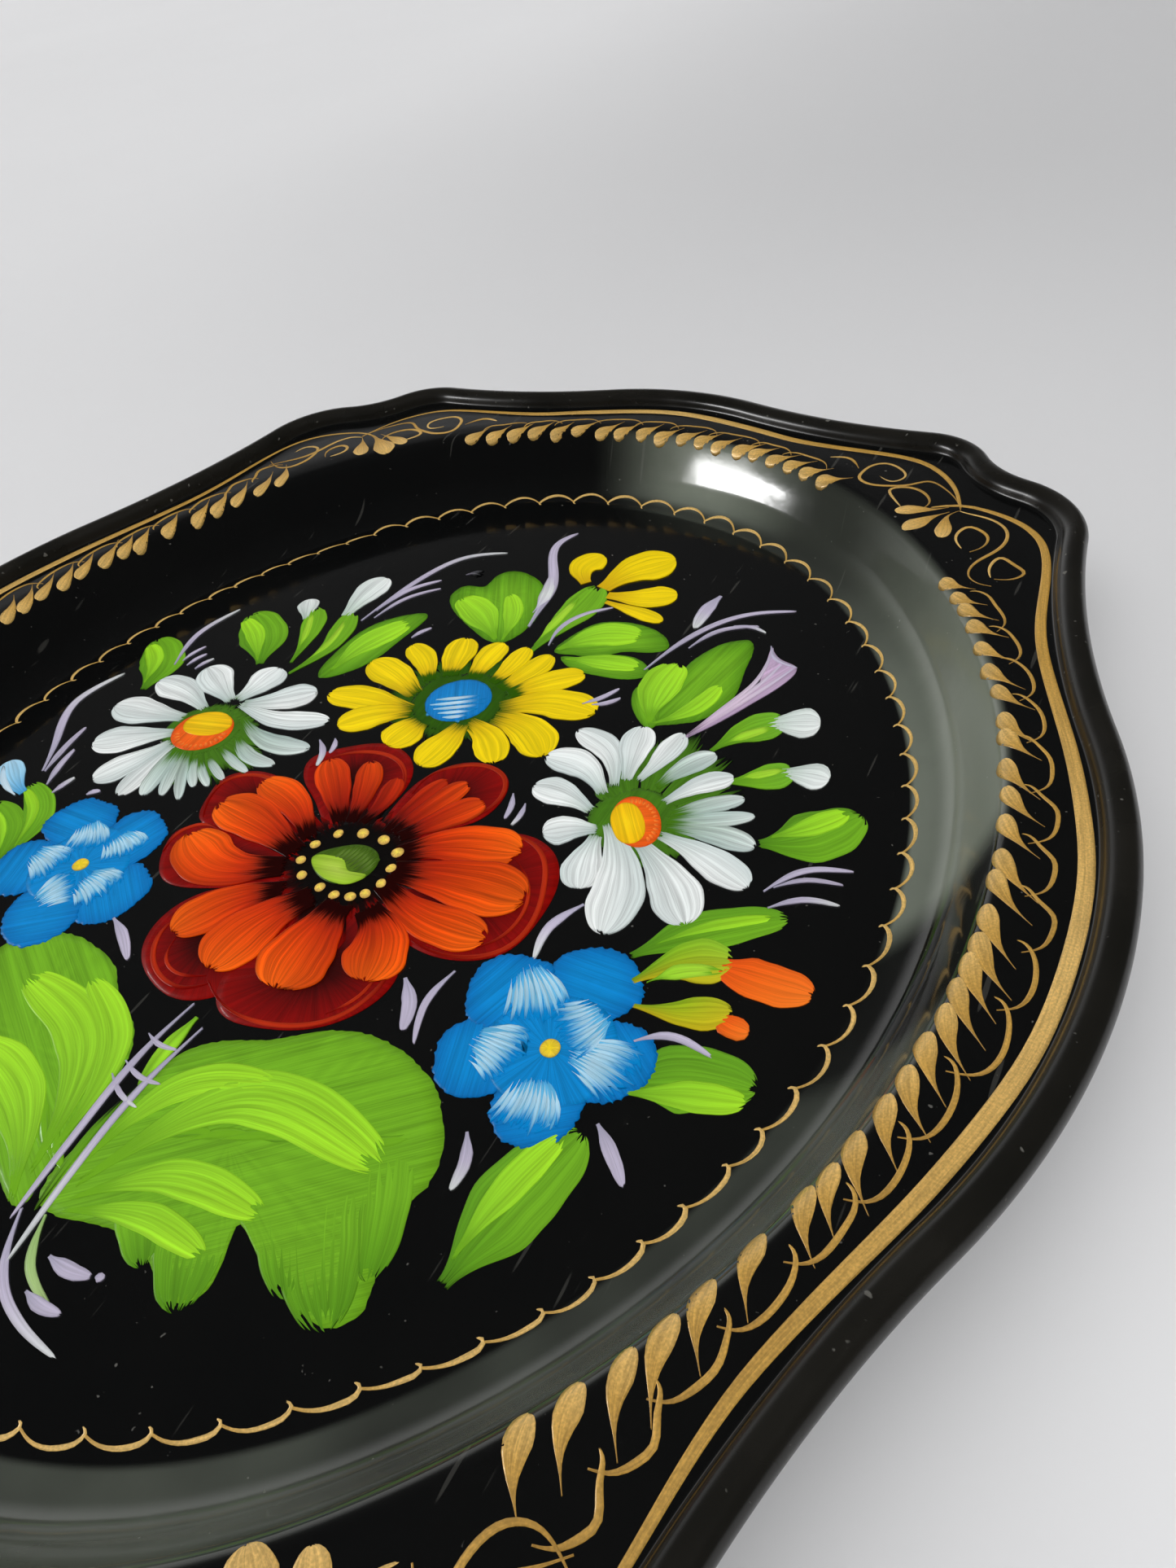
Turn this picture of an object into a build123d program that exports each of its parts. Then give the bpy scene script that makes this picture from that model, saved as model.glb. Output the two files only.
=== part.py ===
"""Zhostovo painted tray: pressed sheet-steel oval tray, rolled rim over a wire, flower painting.

Millimetres. Z = 0 is the underside of the flat well, on which the tray rests.
+Y runs along the longer axis, towards the top of the bouquet; +X is the bouquet's right side.
"""
from build123d import *
from math import atan2, cos, degrees, hypot, radians, sin, tan
import os

# ---- driving dimensions ----------------------------------------------------------------
SHEET = 0.8                 # steel sheet thickness
WELL_HALF_X = 110.0         # flat well, half size across
WELL_HALF_Y = 127.3         # flat well, half size along
WALL_RISE = 16.5            # well face up to flange face
WALL_FOOT = 7.4             # lower bend corner, outwards from the well oval
WALL_HEAD = 16.2            # upper bend corner, outwards from the well oval
FOOT_RADIUS = 11.0          # inside radius of the lower bend
HEAD_RADIUS = 4.0           # outside radius of the upper bend
FLANGE_START = 24.0         # where the swept wall section ends on the flange
WELL_START = -2.0           # where it begins on the well, inside the oval
JOIN = 1.0                  # overlap of the well, wall and flange where they fuse

ROLL_RADIUS = 2.9           # outside radius of the rolled rim
ROLL_LIFT = 0.9             # rim centre above the flange face
ROLL_OPEN = (217, 240)      # open seam under the flange, degrees around the rim section
WIRE_RADIUS = ROLL_RADIUS - SHEET
FLANGE_REACH = 0.74 * ROLL_RADIUS   # flange edge, inwards from the rim's centre line, inside the roll

RIM_HALF_X = 145.2          # rim centre line, half size across
# One quarter of the rim's centre line from the +X end: (radius, turn), minus turns are hollow.
# One more arc closes the quarter square on the Y axis.
RIM_ARCS = [(125, 23.7), (220, -17.0), (22, 64.0), (26, -40.0), (16, 59.3), (180, -17.0)]

PAINT = 0.08                # thickness of every painted layer
LINE_INSET = 5.2            # gold line, inwards from the rim's centre line
LINE_WIDTH = 2.2
SCALLOPS = 76               # arcs in the gold scalloped ring around the well
SCALLOP_SAG = 1.4
SCALLOP_GAP = 0.3           # bare metal between neighbouring scallops
SCALLOP_LINE = 0.7
DROPS = 124                 # gold drops around the flange
DROP_INSET = 21.7           # drop centres, outwards from the well oval
DROP_SIZE = (6.0, 2.4)
DROP_LEAN = -35             # drops trail clockwise, degrees

FLANGE_TOP = SHEET + WALL_RISE


# ---- tangent-arc outlines --------------------------------------------------------------
def quarter_arcs(arcs, half_x):
    """Add the arc that brings a quarter outline from (half_x, 0) square onto the Y axis."""
    x, heading = half_x, 90.0
    for radius, turn in arcs:
        side = 1 if turn > 0 else -1
        x -= side * radius * (sin(radians(heading)) - sin(radians(heading + turn)))
        heading += turn
    return arcs + [(x / sin(radians(heading)), 180.0 - heading)]


def closed_outline(arcs, half_x, inset=0.0):
    """Wire of a whole outline, mirrored on both axes, moved inwards by inset."""
    quarter = quarter_arcs(arcs, half_x)
    run = quarter + quarter[::-1] + quarter + quarter[::-1]
    here = Vector(half_x - inset, 0)
    heading = 90.0
    edges = []
    for radius, turn in run:
        side = 1 if turn > 0 else -1
        reach = radius - side * inset
        centre = here + reach * side * Vector(-sin(radians(heading)), cos(radians(heading)))
        start = heading - side * 90
        edges.append(CenterArc(centre, reach, start, turn))
        heading += turn
        here = edges[-1] @ 1
    return Wire([edge.edge() for edge in edges])


def oval_arcs():
    """Quarter of the well's oval: two 45 degree arcs through both half sizes."""
    bend = tan(radians(22.5))
    return [((WELL_HALF_Y - WELL_HALF_X * bend) / (2 - 2 ** 0.5), 45.0)]


def rim_outline(inset=0.0):
    return closed_outline(RIM_ARCS, RIM_HALF_X, inset)


def well_oval(inset=0.0):
    return closed_outline(oval_arcs(), WELL_HALF_X, inset)


# ---- steel -----------------------------------------------------------------------------
def wall_section():
    """Bent sheet between the well and the flange, cut at the +X end."""
    slope = atan2(WALL_RISE, WALL_HEAD - WALL_FOOT)
    shift = SHEET * tan(slope / 2)
    upper = [(WELL_START, SHEET), (WALL_FOOT, SHEET), (WALL_HEAD, FLANGE_TOP), (FLANGE_START, FLANGE_TOP)]
    lower = [(r + shift * (0 < i < 3), z - SHEET) for i, (r, z) in enumerate(upper)]
    top = FilletPolyline(*upper, radius=[FOOT_RADIUS, HEAD_RADIUS])
    bottom = FilletPolyline(*lower, radius=[FOOT_RADIUS + SHEET, HEAD_RADIUS - SHEET])
    ends = [Line(upper[0], lower[0]), Line(upper[-1], lower[-1])]
    section = make_face(Curve() + [top, bottom] + ends)
    return Plane.XZ * Pos(WELL_HALF_X, 0) * section


def roll_section():
    """Sheet rolled around the wire, open at a seam under the flange."""
    opening = [(0, 0)] + [
        (2 * ROLL_RADIUS * cos(radians(a)), 2 * ROLL_RADIUS * sin(radians(a))) for a in ROLL_OPEN
    ]
    ring = Circle(ROLL_RADIUS) - Circle(WIRE_RADIUS) - make_face(Polyline(*opening, close=True))
    return Plane.XZ * Pos(RIM_HALF_X, FLANGE_TOP + ROLL_LIFT) * ring


def rim_path():
    return Pos(0, 0, FLANGE_TOP + ROLL_LIFT) * rim_outline()


def tray_body():
    well = extrude(make_face(well_oval(JOIN)), SHEET)
    wall = sweep(wall_section(), path=well_oval())
    plate = make_face(rim_outline(FLANGE_REACH)) - make_face(well_oval(JOIN - FLANGE_START))
    flange = Pos(0, 0, WALL_RISE) * extrude(plate, SHEET)
    roll = sweep(roll_section(), path=rim_path())
    return well + wall + flange + roll


def rim_wire():
    section = Plane.XZ * Pos(RIM_HALF_X, FLANGE_TOP + ROLL_LIFT) * Circle(WIRE_RADIUS)
    return sweep(section, path=rim_path())


# ---- paint shapes ----------------------------------------------------------------------
def petal(centre, angle, inner, outer, width):
    """Ellipse pointing away from a flower's centre."""
    middle = (inner + outer) / 2
    return Pos(*centre) * Rot(0, 0, angle) * Pos(middle, 0) * Ellipse((outer - inner) / 2, width / 2)


def flower(centre, count, inner, outer, width, turn=0.0):
    return Sketch() + [petal(centre, turn + k * 360 / count, inner, outer, width) for k in range(count)]


def leaf(base, tip, width):
    """Pointed leaf of two arcs from its base to its tip."""
    length = hypot(tip[0] - base[0], tip[1] - base[1])
    angle = degrees(atan2(tip[1] - base[1], tip[0] - base[0]))
    sides = [ThreePointArc((0, 0), (length / 2, side * width / 2), (length, 0)) for side in (1, -1)]
    return Pos(*base) * Rot(0, 0, angle) * make_face(Curve() + sides)


def stroke(start, middle, end, width):
    """Curved brush line of even width through three points."""
    path = ThreePointArc(start, middle, end)
    return trace(path, width)


def coat(shape, height):
    return Pos(0, 0, height) * extrude(shape, PAINT)


# ---- gold ------------------------------------------------------------------------------
def along(outline, count):
    """Evenly spaced places on an outline, local X pointing outwards."""
    for k in range(count):
        point = outline @ (k / count)
        tangent = outline % (k / count)
        yield Pos(point.X, point.Y) * Rot(0, 0, degrees(atan2(tangent.Y, tangent.X)) - 90)


def scallop_ring():
    """Chain of small arcs that bulge outwards from the well's edge."""
    outline = well_oval()
    half = (outline.length / SCALLOPS - SCALLOP_GAP) / 2
    sag = SCALLOP_SAG / 2
    bends = [((x - sag, -half), (x + sag, 0), (x - sag, half)) for x in (0, -SCALLOP_LINE)]
    arcs = [ThreePointArc(*bend) for bend in bends]
    joins = [Line(bends[0][end], bends[1][end]) for end in (0, 2)]
    scallop = make_face(Curve() + arcs + joins)
    return Compound([coat(place * scallop, SHEET) for place in along(outline, SCALLOPS)])


def rim_gold_line():
    outer = make_face(rim_outline(LINE_INSET - LINE_WIDTH / 2))
    inner = make_face(rim_outline(LINE_INSET + LINE_WIDTH / 2))
    return coat(outer - inner, FLANGE_TOP)


def gold_drops():
    drop = Rot(0, 0, DROP_LEAN) * Ellipse(DROP_SIZE[0] / 2, DROP_SIZE[1] / 2)
    ring = well_oval(-DROP_INSET)
    return Compound([coat(place * drop, FLANGE_TOP) for place in along(ring, DROPS)])


# ---- bouquet ---------------------------------------------------------------------------
YELLOW_DAISY = (-2, 36.5)
POPPY = (6, -15.5)
WHITE_DAISIES = {"left": (-57, 6.5), "right": (56, 16.5)}
BLUE_FLOWERS = {"left": (-50, -38.5), "right": (67.5, -37)}


def poppy():
    """Broad overlapping petals around a seed pod."""
    petals = [(0, 45, 36), (62, 38, 24), (116, 38, 26), (166, 44, 22), (204, 43, 20), (262, 40, 34)]
    petals += [(302, 42, 30), (330, 36, 24)]
    return Sketch() + [petal(POPPY, turn, 2, reach, width) for turn, reach, width in petals]


def bouquet_coats():
    """Flat outlines of the flowers and leaves, the topmost first."""
    coats = {}
    coats["yellow_daisy_heart"] = Pos(*YELLOW_DAISY) * Ellipse(8.3, 7.6)
    coats["yellow_daisy"] = flower(YELLOW_DAISY, 14, 2, 30, 9.5, 12) + Pos(*YELLOW_DAISY) * Circle(12)
    coats["poppy_pod"] = Pos(*POPPY) * Ellipse(7, 6)
    for side, centre in WHITE_DAISIES.items():
        coats[f"white_daisy_heart_{side}"] = Pos(*centre) * Ellipse(7, 6.5)
        coats[f"white_daisy_{side}"] = flower(centre, 15, 2, 29, 8.5) + Pos(*centre) * Circle(9)
    coats["poppy"] = poppy()
    for side, centre in BLUE_FLOWERS.items():
        coats[f"blue_flower_heart_{side}"] = Pos(*centre) * Circle(1.9)
        coats[f"blue_flower_{side}"] = flower(centre, 5, 0, 19, 18, 90) + Pos(*centre) * Circle(7)
    bud = (5, 86)
    bud_petals = [(120, 2, 19, 11), (62, 3, 25, 14), (28, 6, 26, 9), (-8, 8, 26, 5)]
    coats["yellow_bud"] = Sketch() + [petal(bud, *shape) for shape in bud_petals]
    white = [(-54, 67, 9, 18), (-66, 57, 5, 10), (76, 54, 9, 11), (82, 40, 11, 7)]
    coats["white_buds"] = Sketch() + [Pos(x, y) * Ellipse(w / 2, h / 2) for x, y, w, h in white]
    orange = [(95, -10, 17, 8), (93, -21, 9, 4)]
    coats["orange_buds"] = Sketch() + [Pos(x, y) * Ellipse(w / 2, h / 2) for x, y, w, h in orange]
    coats["blue_bud"] = Pos(-90, -23) * Ellipse(7, 4)
    large = [((4, -100), (-52, -56), 26), ((4, -100), (-52, -80), 22)]
    large += [((5, -98), (60, -50), 30), ((5, -98), (64, -84), 24), ((5, -98), (41, -97), 11)]
    coats["large_leaves"] = Sketch() + [leaf(*shape) for shape in large]
    small = [((-4, 61), (-30, 79), 22), ((-2, 63), (-17, 90), 18), ((10, 61), (36, 76), 17)]
    small += [((12, 60), (37, 58), 11), ((46, 43), (56, 79), 18), ((45, 43), (40, 64), 13)]
    small += [((-41, 34), (-32, 64), 16), ((-62, 32), (-80, 49), 15), ((-86, 14), (-99, 31), 13)]
    small += [((4, 62), (8, 89), 12), ((-53, 38), (-63, 57), 9), ((-51, 38), (-53, 58), 8)]
    small += [((62, 41), (73, 55), 10), ((69, 33), (80, 41), 8), ((83, 19), (98, 33), 15)]
    small += [((71, -14), (93, 3), 8), ((74, -20), (89, -9), 9), ((76, -24), (92, -20), 6)]
    small += [((72, -78), (81, -48), 15), ((82, -39), (100, -31), 15), ((-71, -41), (-84, -24), 9)]
    coats["small_leaves"] = Sketch() + [leaf(*shape) for shape in small]
    strokes = [((-12, 110), (-8, 92), (-1.5, 76)), ((-26, 97), (-38, 85), (-47, 60))]
    strokes += [((54, 44), (63, 60), (61, 78)), ((37, 64), (44, 83), (58, 94))]
    strokes += [((-88, 50), (-89, 36), (-83, 20)), ((-97, 15), (-98, -2), (-87, -19))]
    strokes += [((0, -57), (0, -80), (5, -104)), ((6, -59), (6, -85), (20, -107))]
    coats["light_strokes"] = Sketch() + [stroke(*points, 1.2) for points in strokes]
    return coats


def bouquet():
    """Each coat cut back where a higher one covers it, so that all of them lie on the well."""
    covered = Sketch()
    for name, shape in bouquet_coats().items():
        seen = shape - covered
        covered = covered + shape
        yield name, coat(seen, SHEET)


# ---- parts -----------------------------------------------------------------------------
parts = {
    "tray_body": tray_body(),
    "rim_wire": rim_wire(),
    "scallop_ring": scallop_ring(),
    "rim_gold_line": rim_gold_line(),
    "gold_drops": gold_drops(),
}
parts.update(bouquet())

os.makedirs("parts", exist_ok=True)
for name, shape in parts.items():
    export_step(shape, f"parts/{name}.step")
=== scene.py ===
"""Zhostovo painted tray: black lacquered steel tray with a brushed bouquet and a gold border."""
import math

import bpy
import numpy as np
from mathutils import Matrix, Vector


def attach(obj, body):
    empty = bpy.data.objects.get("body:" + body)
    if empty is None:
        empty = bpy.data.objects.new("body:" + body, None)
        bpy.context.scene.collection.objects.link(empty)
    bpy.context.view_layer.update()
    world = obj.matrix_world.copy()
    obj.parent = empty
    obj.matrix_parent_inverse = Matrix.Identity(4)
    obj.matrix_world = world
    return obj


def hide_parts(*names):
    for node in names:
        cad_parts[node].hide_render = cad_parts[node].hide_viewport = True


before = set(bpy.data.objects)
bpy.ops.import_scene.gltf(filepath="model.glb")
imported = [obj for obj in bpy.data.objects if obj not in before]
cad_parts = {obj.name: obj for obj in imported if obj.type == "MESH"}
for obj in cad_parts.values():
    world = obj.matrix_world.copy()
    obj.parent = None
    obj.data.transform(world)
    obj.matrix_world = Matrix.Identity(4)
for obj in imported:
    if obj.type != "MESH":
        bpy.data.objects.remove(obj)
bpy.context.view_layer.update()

MM = 0.001
RANDOM = np.random.default_rng(11)

# ---- tray dimensions, millimetres, as in the CAD ----------------------------------------
SHEET = 0.8
WELL_X, WELL_Y = 110, 127.3
WALL_RISE = 16.5
WALL_FOOT, WALL_HEAD = 7.4, 16.2
FOOT_RADIUS, HEAD_RADIUS = 11, 4
ROLL_RADIUS = 2.9
ROLL_LIFT = 0.9
RIM_X = 145.2
RIM_ARCS = [(125, 23.7), (220, -17), (22, 64), (26, -40), (16, 59.3), (180, -17)]
FLANGE_TOP = SHEET + WALL_RISE
SLOPE = math.atan2(WALL_RISE, WALL_HEAD - WALL_FOOT)
FOOT_TANGENT = FOOT_RADIUS * math.tan(SLOPE / 2)
HEAD_TANGENT = HEAD_RADIUS * math.tan(SLOPE / 2)
FLANGE_FROM = WALL_HEAD + HEAD_TANGENT


# ---- the well's oval and the wall over it ------------------------------------------------
OVAL_BEND = math.tan(math.radians(22.5))
END_RADIUS = (WELL_Y - WELL_X * OVAL_BEND) / (2 - 2 ** 0.5)
TOP_RADIUS = (WELL_X - END_RADIUS * (1 - 0.5 ** 0.5)) / 0.5 ** 0.5
END_ARC, TOP_ARC = END_RADIUS * math.pi / 4, TOP_RADIUS * math.pi / 4
QUARTER = END_ARC + TOP_ARC


def oval(s, reach=0):
    """Points at arc length s from the +X end, moved outwards by reach; also the outward normals."""
    s = np.mod(np.asarray(s, float), 4 * QUARTER)
    quadrant = (s // QUARTER).astype(int)
    along = s - quadrant * QUARTER
    along = np.where(quadrant % 2 == 1, QUARTER - along, along)
    on_end = along < END_ARC
    angle = np.where(on_end, along / END_RADIUS, math.pi / 4 + (along - END_ARC) / TOP_RADIUS)
    radius = np.where(on_end, END_RADIUS, TOP_RADIUS)
    side = np.stack([np.where((quadrant == 1) | (quadrant == 2), -1, 1), np.where(quadrant > 1, -1, 1)], -1)
    normal = np.stack([np.cos(angle), np.sin(angle)], -1) * side
    centre_x, centre_y = np.where(on_end, WELL_X - END_RADIUS, 0), np.where(on_end, 0, WELL_Y - TOP_RADIUS)
    point = np.stack([centre_x, centre_y], -1) * side + normal * (radius + reach)[..., None]
    return point, normal


def oval_place(xy):
    """Arc length and reach of points: the inverse of oval, with the outward normal."""
    x, y = np.abs(xy[..., 0]), np.abs(xy[..., 1])
    end_x, top_y = WELL_X - END_RADIUS, WELL_Y - TOP_RADIUS
    end_angle = np.arctan2(y, x - end_x)
    top_angle = np.arctan2(y - top_y, x)
    on_end = end_angle <= math.pi / 4
    angle = np.where(on_end, end_angle, top_angle)
    reach = np.where(on_end, np.hypot(x - end_x, y) - END_RADIUS, np.hypot(x, y - top_y) - TOP_RADIUS)
    along = np.where(on_end, end_angle * END_RADIUS, END_ARC + (top_angle - math.pi / 4) * TOP_RADIUS)
    left, low = xy[..., 0] < 0, xy[..., 1] < 0
    along = np.where(left, 2 * QUARTER - along, along)
    along = np.where(low, 4 * QUARTER - along, along)
    normal = np.stack([np.cos(angle), np.sin(angle)], -1) * np.where(xy < 0, -1, 1)
    return along, reach, normal


def wall_height(reach):
    """Height over the well's face, and the slope angle, across the foot bend, wall and head bend."""
    reach = np.asarray(reach, float)
    foot = np.clip((reach - WALL_FOOT + FOOT_TANGENT) / FOOT_RADIUS, 0, math.sin(SLOPE))
    head = np.clip((FLANGE_FROM - reach) / HEAD_RADIUS, 0, math.sin(SLOPE))
    on_foot = reach < WALL_FOOT + FOOT_TANGENT * math.cos(SLOPE)
    on_head = reach > WALL_HEAD - HEAD_TANGENT * math.cos(SLOPE)
    foot_z = FOOT_RADIUS * (1 - np.sqrt(1 - foot ** 2))
    head_z = WALL_RISE - HEAD_RADIUS * (1 - np.sqrt(1 - head ** 2))
    wall_z = (reach - WALL_FOOT) * math.tan(SLOPE)
    height = np.where(on_foot, foot_z, np.where(on_head, head_z, wall_z))
    angle = np.where(on_foot, np.arcsin(foot), np.where(on_head, np.arcsin(head), SLOPE))
    return height, angle


def waviness(xy):
    """Faint hand-hammered unevenness of the sheet, millimetres."""
    x, y = xy[..., 0], xy[..., 1]
    wave = 0.10 * np.sin(x / 31 + 0.6) * np.cos(y / 37 - 0.9)
    wave += 0.05 * np.sin(x / 17 - y / 23 + 2) + 0.03 * np.sin(y / 11 + x / 29)
    return wave


def surface(xy):
    """Height of the tray's upper face at points of the plan, and its unit normals."""
    _, reach, outward = oval_place(xy)
    height, angle = wall_height(reach)
    normal = np.concatenate([-outward * np.sin(angle)[..., None], np.cos(angle)[..., None]], -1)
    return SHEET + height + waviness(xy), normal


# ---- the rim ------------------------------------------------------------------------------
RIM_STEP = 2.1              # spacing along the rim; tight arcs get a finer one


def rim_line():
    """Closed centre line of the rolled rim as points and outward normals."""
    x, heading = RIM_X, 90
    quarter = list(RIM_ARCS)
    for radius, turn in RIM_ARCS:
        side = math.copysign(1, turn)
        x -= side * radius * (math.sin(math.radians(heading)) - math.sin(math.radians(heading + turn)))
        heading += turn
    quarter.append((x / math.sin(math.radians(heading)), 180 - heading))
    here, heading = np.array([RIM_X, 0]), math.pi / 2
    points, normals = [], []
    for radius, turn in quarter + quarter[::-1] + quarter + quarter[::-1]:
        side, sweep = math.copysign(1, turn), math.radians(turn)
        centre = here + side * radius * np.array([-math.sin(heading), math.cos(heading)])
        steps = max(6, math.ceil(radius * abs(sweep) / min(RIM_STEP, radius * 0.06)))
        for k in range(steps):
            h = heading + sweep * k / steps
            normal = np.array([math.sin(h), -math.cos(h)])
            points.append(centre + side * radius * normal)
            normals.append(normal)
        heading += sweep
        here = centre + side * radius * np.array([math.sin(heading), -math.cos(heading)])
    return np.array(points), np.array(normals)


# ---- the tray's skin ------------------------------------------------------------------------
ROLL_FOOT = 3.95            # how far inside the rim's centre line the flange ends
CREASE = [(-3.55, -0.84), (-3.25, -0.62), (-3.04, -0.24), (-2.93, 0.2)]     # from flange to roll
SEAM = (-2.32, -1.74)       # where the rolled sheet comes back under the flange
OUTER_ROWS, INNER_ROWS = 34, 26
OUTER_TURN, INNER_TURN = (168, -118), (-121, 215)       # degrees round the wire, first and last row


def new_object(name, vertices, faces):
    """Smooth-shaded object from vertices in millimetres."""
    mesh = bpy.data.meshes.new(name)
    mesh.from_pydata((np.asarray(vertices) * MM).tolist(), [], faces)
    mesh.validate()
    mesh.polygons.foreach_set("use_smooth", [True] * len(mesh.polygons))
    piece = bpy.data.objects.new(name, mesh)
    bpy.context.scene.collection.objects.link(piece)
    return piece


def ring_faces(rows, columns):
    """Quads between closed rows of a mesh whose first row starts at vertex 0."""
    faces = []
    for i in range(rows - 1):
        for j in range(columns):
            k = (j + 1) % columns
            faces.append((i * columns + j, i * columns + k, (i + 1) * columns + k, (i + 1) * columns + j))
    return faces


def tray_shell():
    """Whole pressed tray as one closed skin: well, wall, flange, rolled rim and underside."""
    rim, rim_out = rim_line()
    s, _, out = oval_place(rim)
    bend_rows = np.concatenate([
        [0.6], WALL_FOOT - FOOT_TANGENT + FOOT_RADIUS * np.sin(np.linspace(0, SLOPE, 14)),
        [12.6],
        FLANGE_FROM - HEAD_RADIUS * np.sin(np.linspace(SLOPE, 0, 7)),
    ])
    plan, lift, tilt = [], [], []
    for share in np.linspace(0.06, 1, 15):
        plan.append(oval(s)[0] * share)
        lift.append(0)
        tilt.append(0)
    for reach in bend_rows:
        height, angle = wall_height(reach)
        plan.append(oval(s, reach)[0])
        lift.append(float(height))
        tilt.append(float(angle))
    flange_inner = plan[-1]
    foot_in = rim - rim_out * ROLL_FOOT
    for share in (0.3, 0.65, 1):
        plan.append(flange_inner + (foot_in - flange_inner) * share)
        lift.append(WALL_RISE)
        tilt.append(0)
    upper, under = [], []
    for xy, z, angle in zip(plan, lift, tilt):
        wave = waviness(xy)
        upper.append(np.column_stack([xy, SHEET + z + wave]))
        shifted = xy + out * SHEET * math.sin(angle)
        under.append(np.column_stack([shifted, np.maximum(SHEET + z + wave - SHEET * math.cos(angle), 0)]))
    centre_z = FLANGE_TOP + ROLL_LIFT + waviness(rim)

    def section(reach, height):
        return np.column_stack([rim + rim_out * reach, centre_z + height])

    rows = upper + [section(*point) for point in CREASE]
    for radius, turn, steps in (
        (ROLL_RADIUS, OUTER_TURN, OUTER_ROWS), (ROLL_RADIUS - SHEET, INNER_TURN, INNER_ROWS)
    ):
        for angle in np.radians(np.linspace(*turn, steps)):
            rows.append(section(radius * math.cos(angle), radius * math.sin(angle)))
    rows.append(section(*SEAM))
    rows += under[::-1]
    count = len(rim)
    vertices = np.concatenate(rows + [[[0, 0, SHEET + waviness(np.zeros(2))]], [[0, 0, 0]]])
    faces = ring_faces(len(rows), count)
    top, bottom, last = len(rows) * count, len(rows) * count + 1, (len(rows) - 1) * count
    for j in range(count):
        k = (j + 1) % count
        faces.append((top, k, j))
        faces.append((bottom, last + j, last + k))
    shell = new_object("lacquered_tray", vertices, [face[::-1] for face in faces])
    s, reach, _ = oval_place(vertices[:, :2])
    reach[(len(rows) - len(under)) * count:] = 0        # the painted sheen on the wall stays off the underside
    place = np.column_stack([np.where(s > 2 * QUARTER, s - 4 * QUARTER, s), reach, np.zeros_like(s)])
    shell.data.attributes.new("wall_place", "FLOAT_VECTOR", "POINT").data.foreach_set("vector", place.ravel())
    roll_rows = range(len(upper) + 1, len(upper) + len(CREASE) + OUTER_ROWS + INNER_ROWS - 1)
    on_roll = [1 if row in roll_rows else 0 for row in np.repeat(np.arange(len(rows) - 1), count)]
    shell.data.polygons.foreach_set("material_index", on_roll + [0] * (2 * count))
    return shell


# ---- camera, floor and light ------------------------------------------------------------------
VIEW_TARGET = Vector((41.8, 22.5, SHEET))
VIEW_AZIMUTH, VIEW_ELEVATION, VIEW_ROLL = -53.32, 42.34, 11.31
VIEW_DISTANCE = 228.6
LENS = 24.84


def add_camera():
    """Camera low over the tray's near right side, rolled a little, with a wide lens."""
    azimuth, elevation = math.radians(VIEW_AZIMUTH), math.radians(VIEW_ELEVATION)
    away = Vector((
        math.cos(elevation) * math.cos(azimuth), math.cos(elevation) * math.sin(azimuth), math.sin(elevation),
    ))
    right = (-away).cross(Vector((0, 0, 1))).normalized()
    up = right.cross(-away)
    roll = math.radians(VIEW_ROLL)
    x_axis = right * math.cos(roll) - up * math.sin(roll)
    y_axis = right * math.sin(roll) + up * math.cos(roll)
    turn = Matrix((x_axis, y_axis, away)).transposed().to_4x4()
    data = bpy.data.cameras.new("camera")
    data.sensor_width = 36
    data.lens = LENS
    data.clip_start = 0.005
    camera = bpy.data.objects.new("camera", data)
    camera.matrix_world = Matrix.Translation((VIEW_TARGET + away * VIEW_DISTANCE) * MM) @ turn
    bpy.context.scene.collection.objects.link(camera)
    bpy.context.scene.camera = camera


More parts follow.
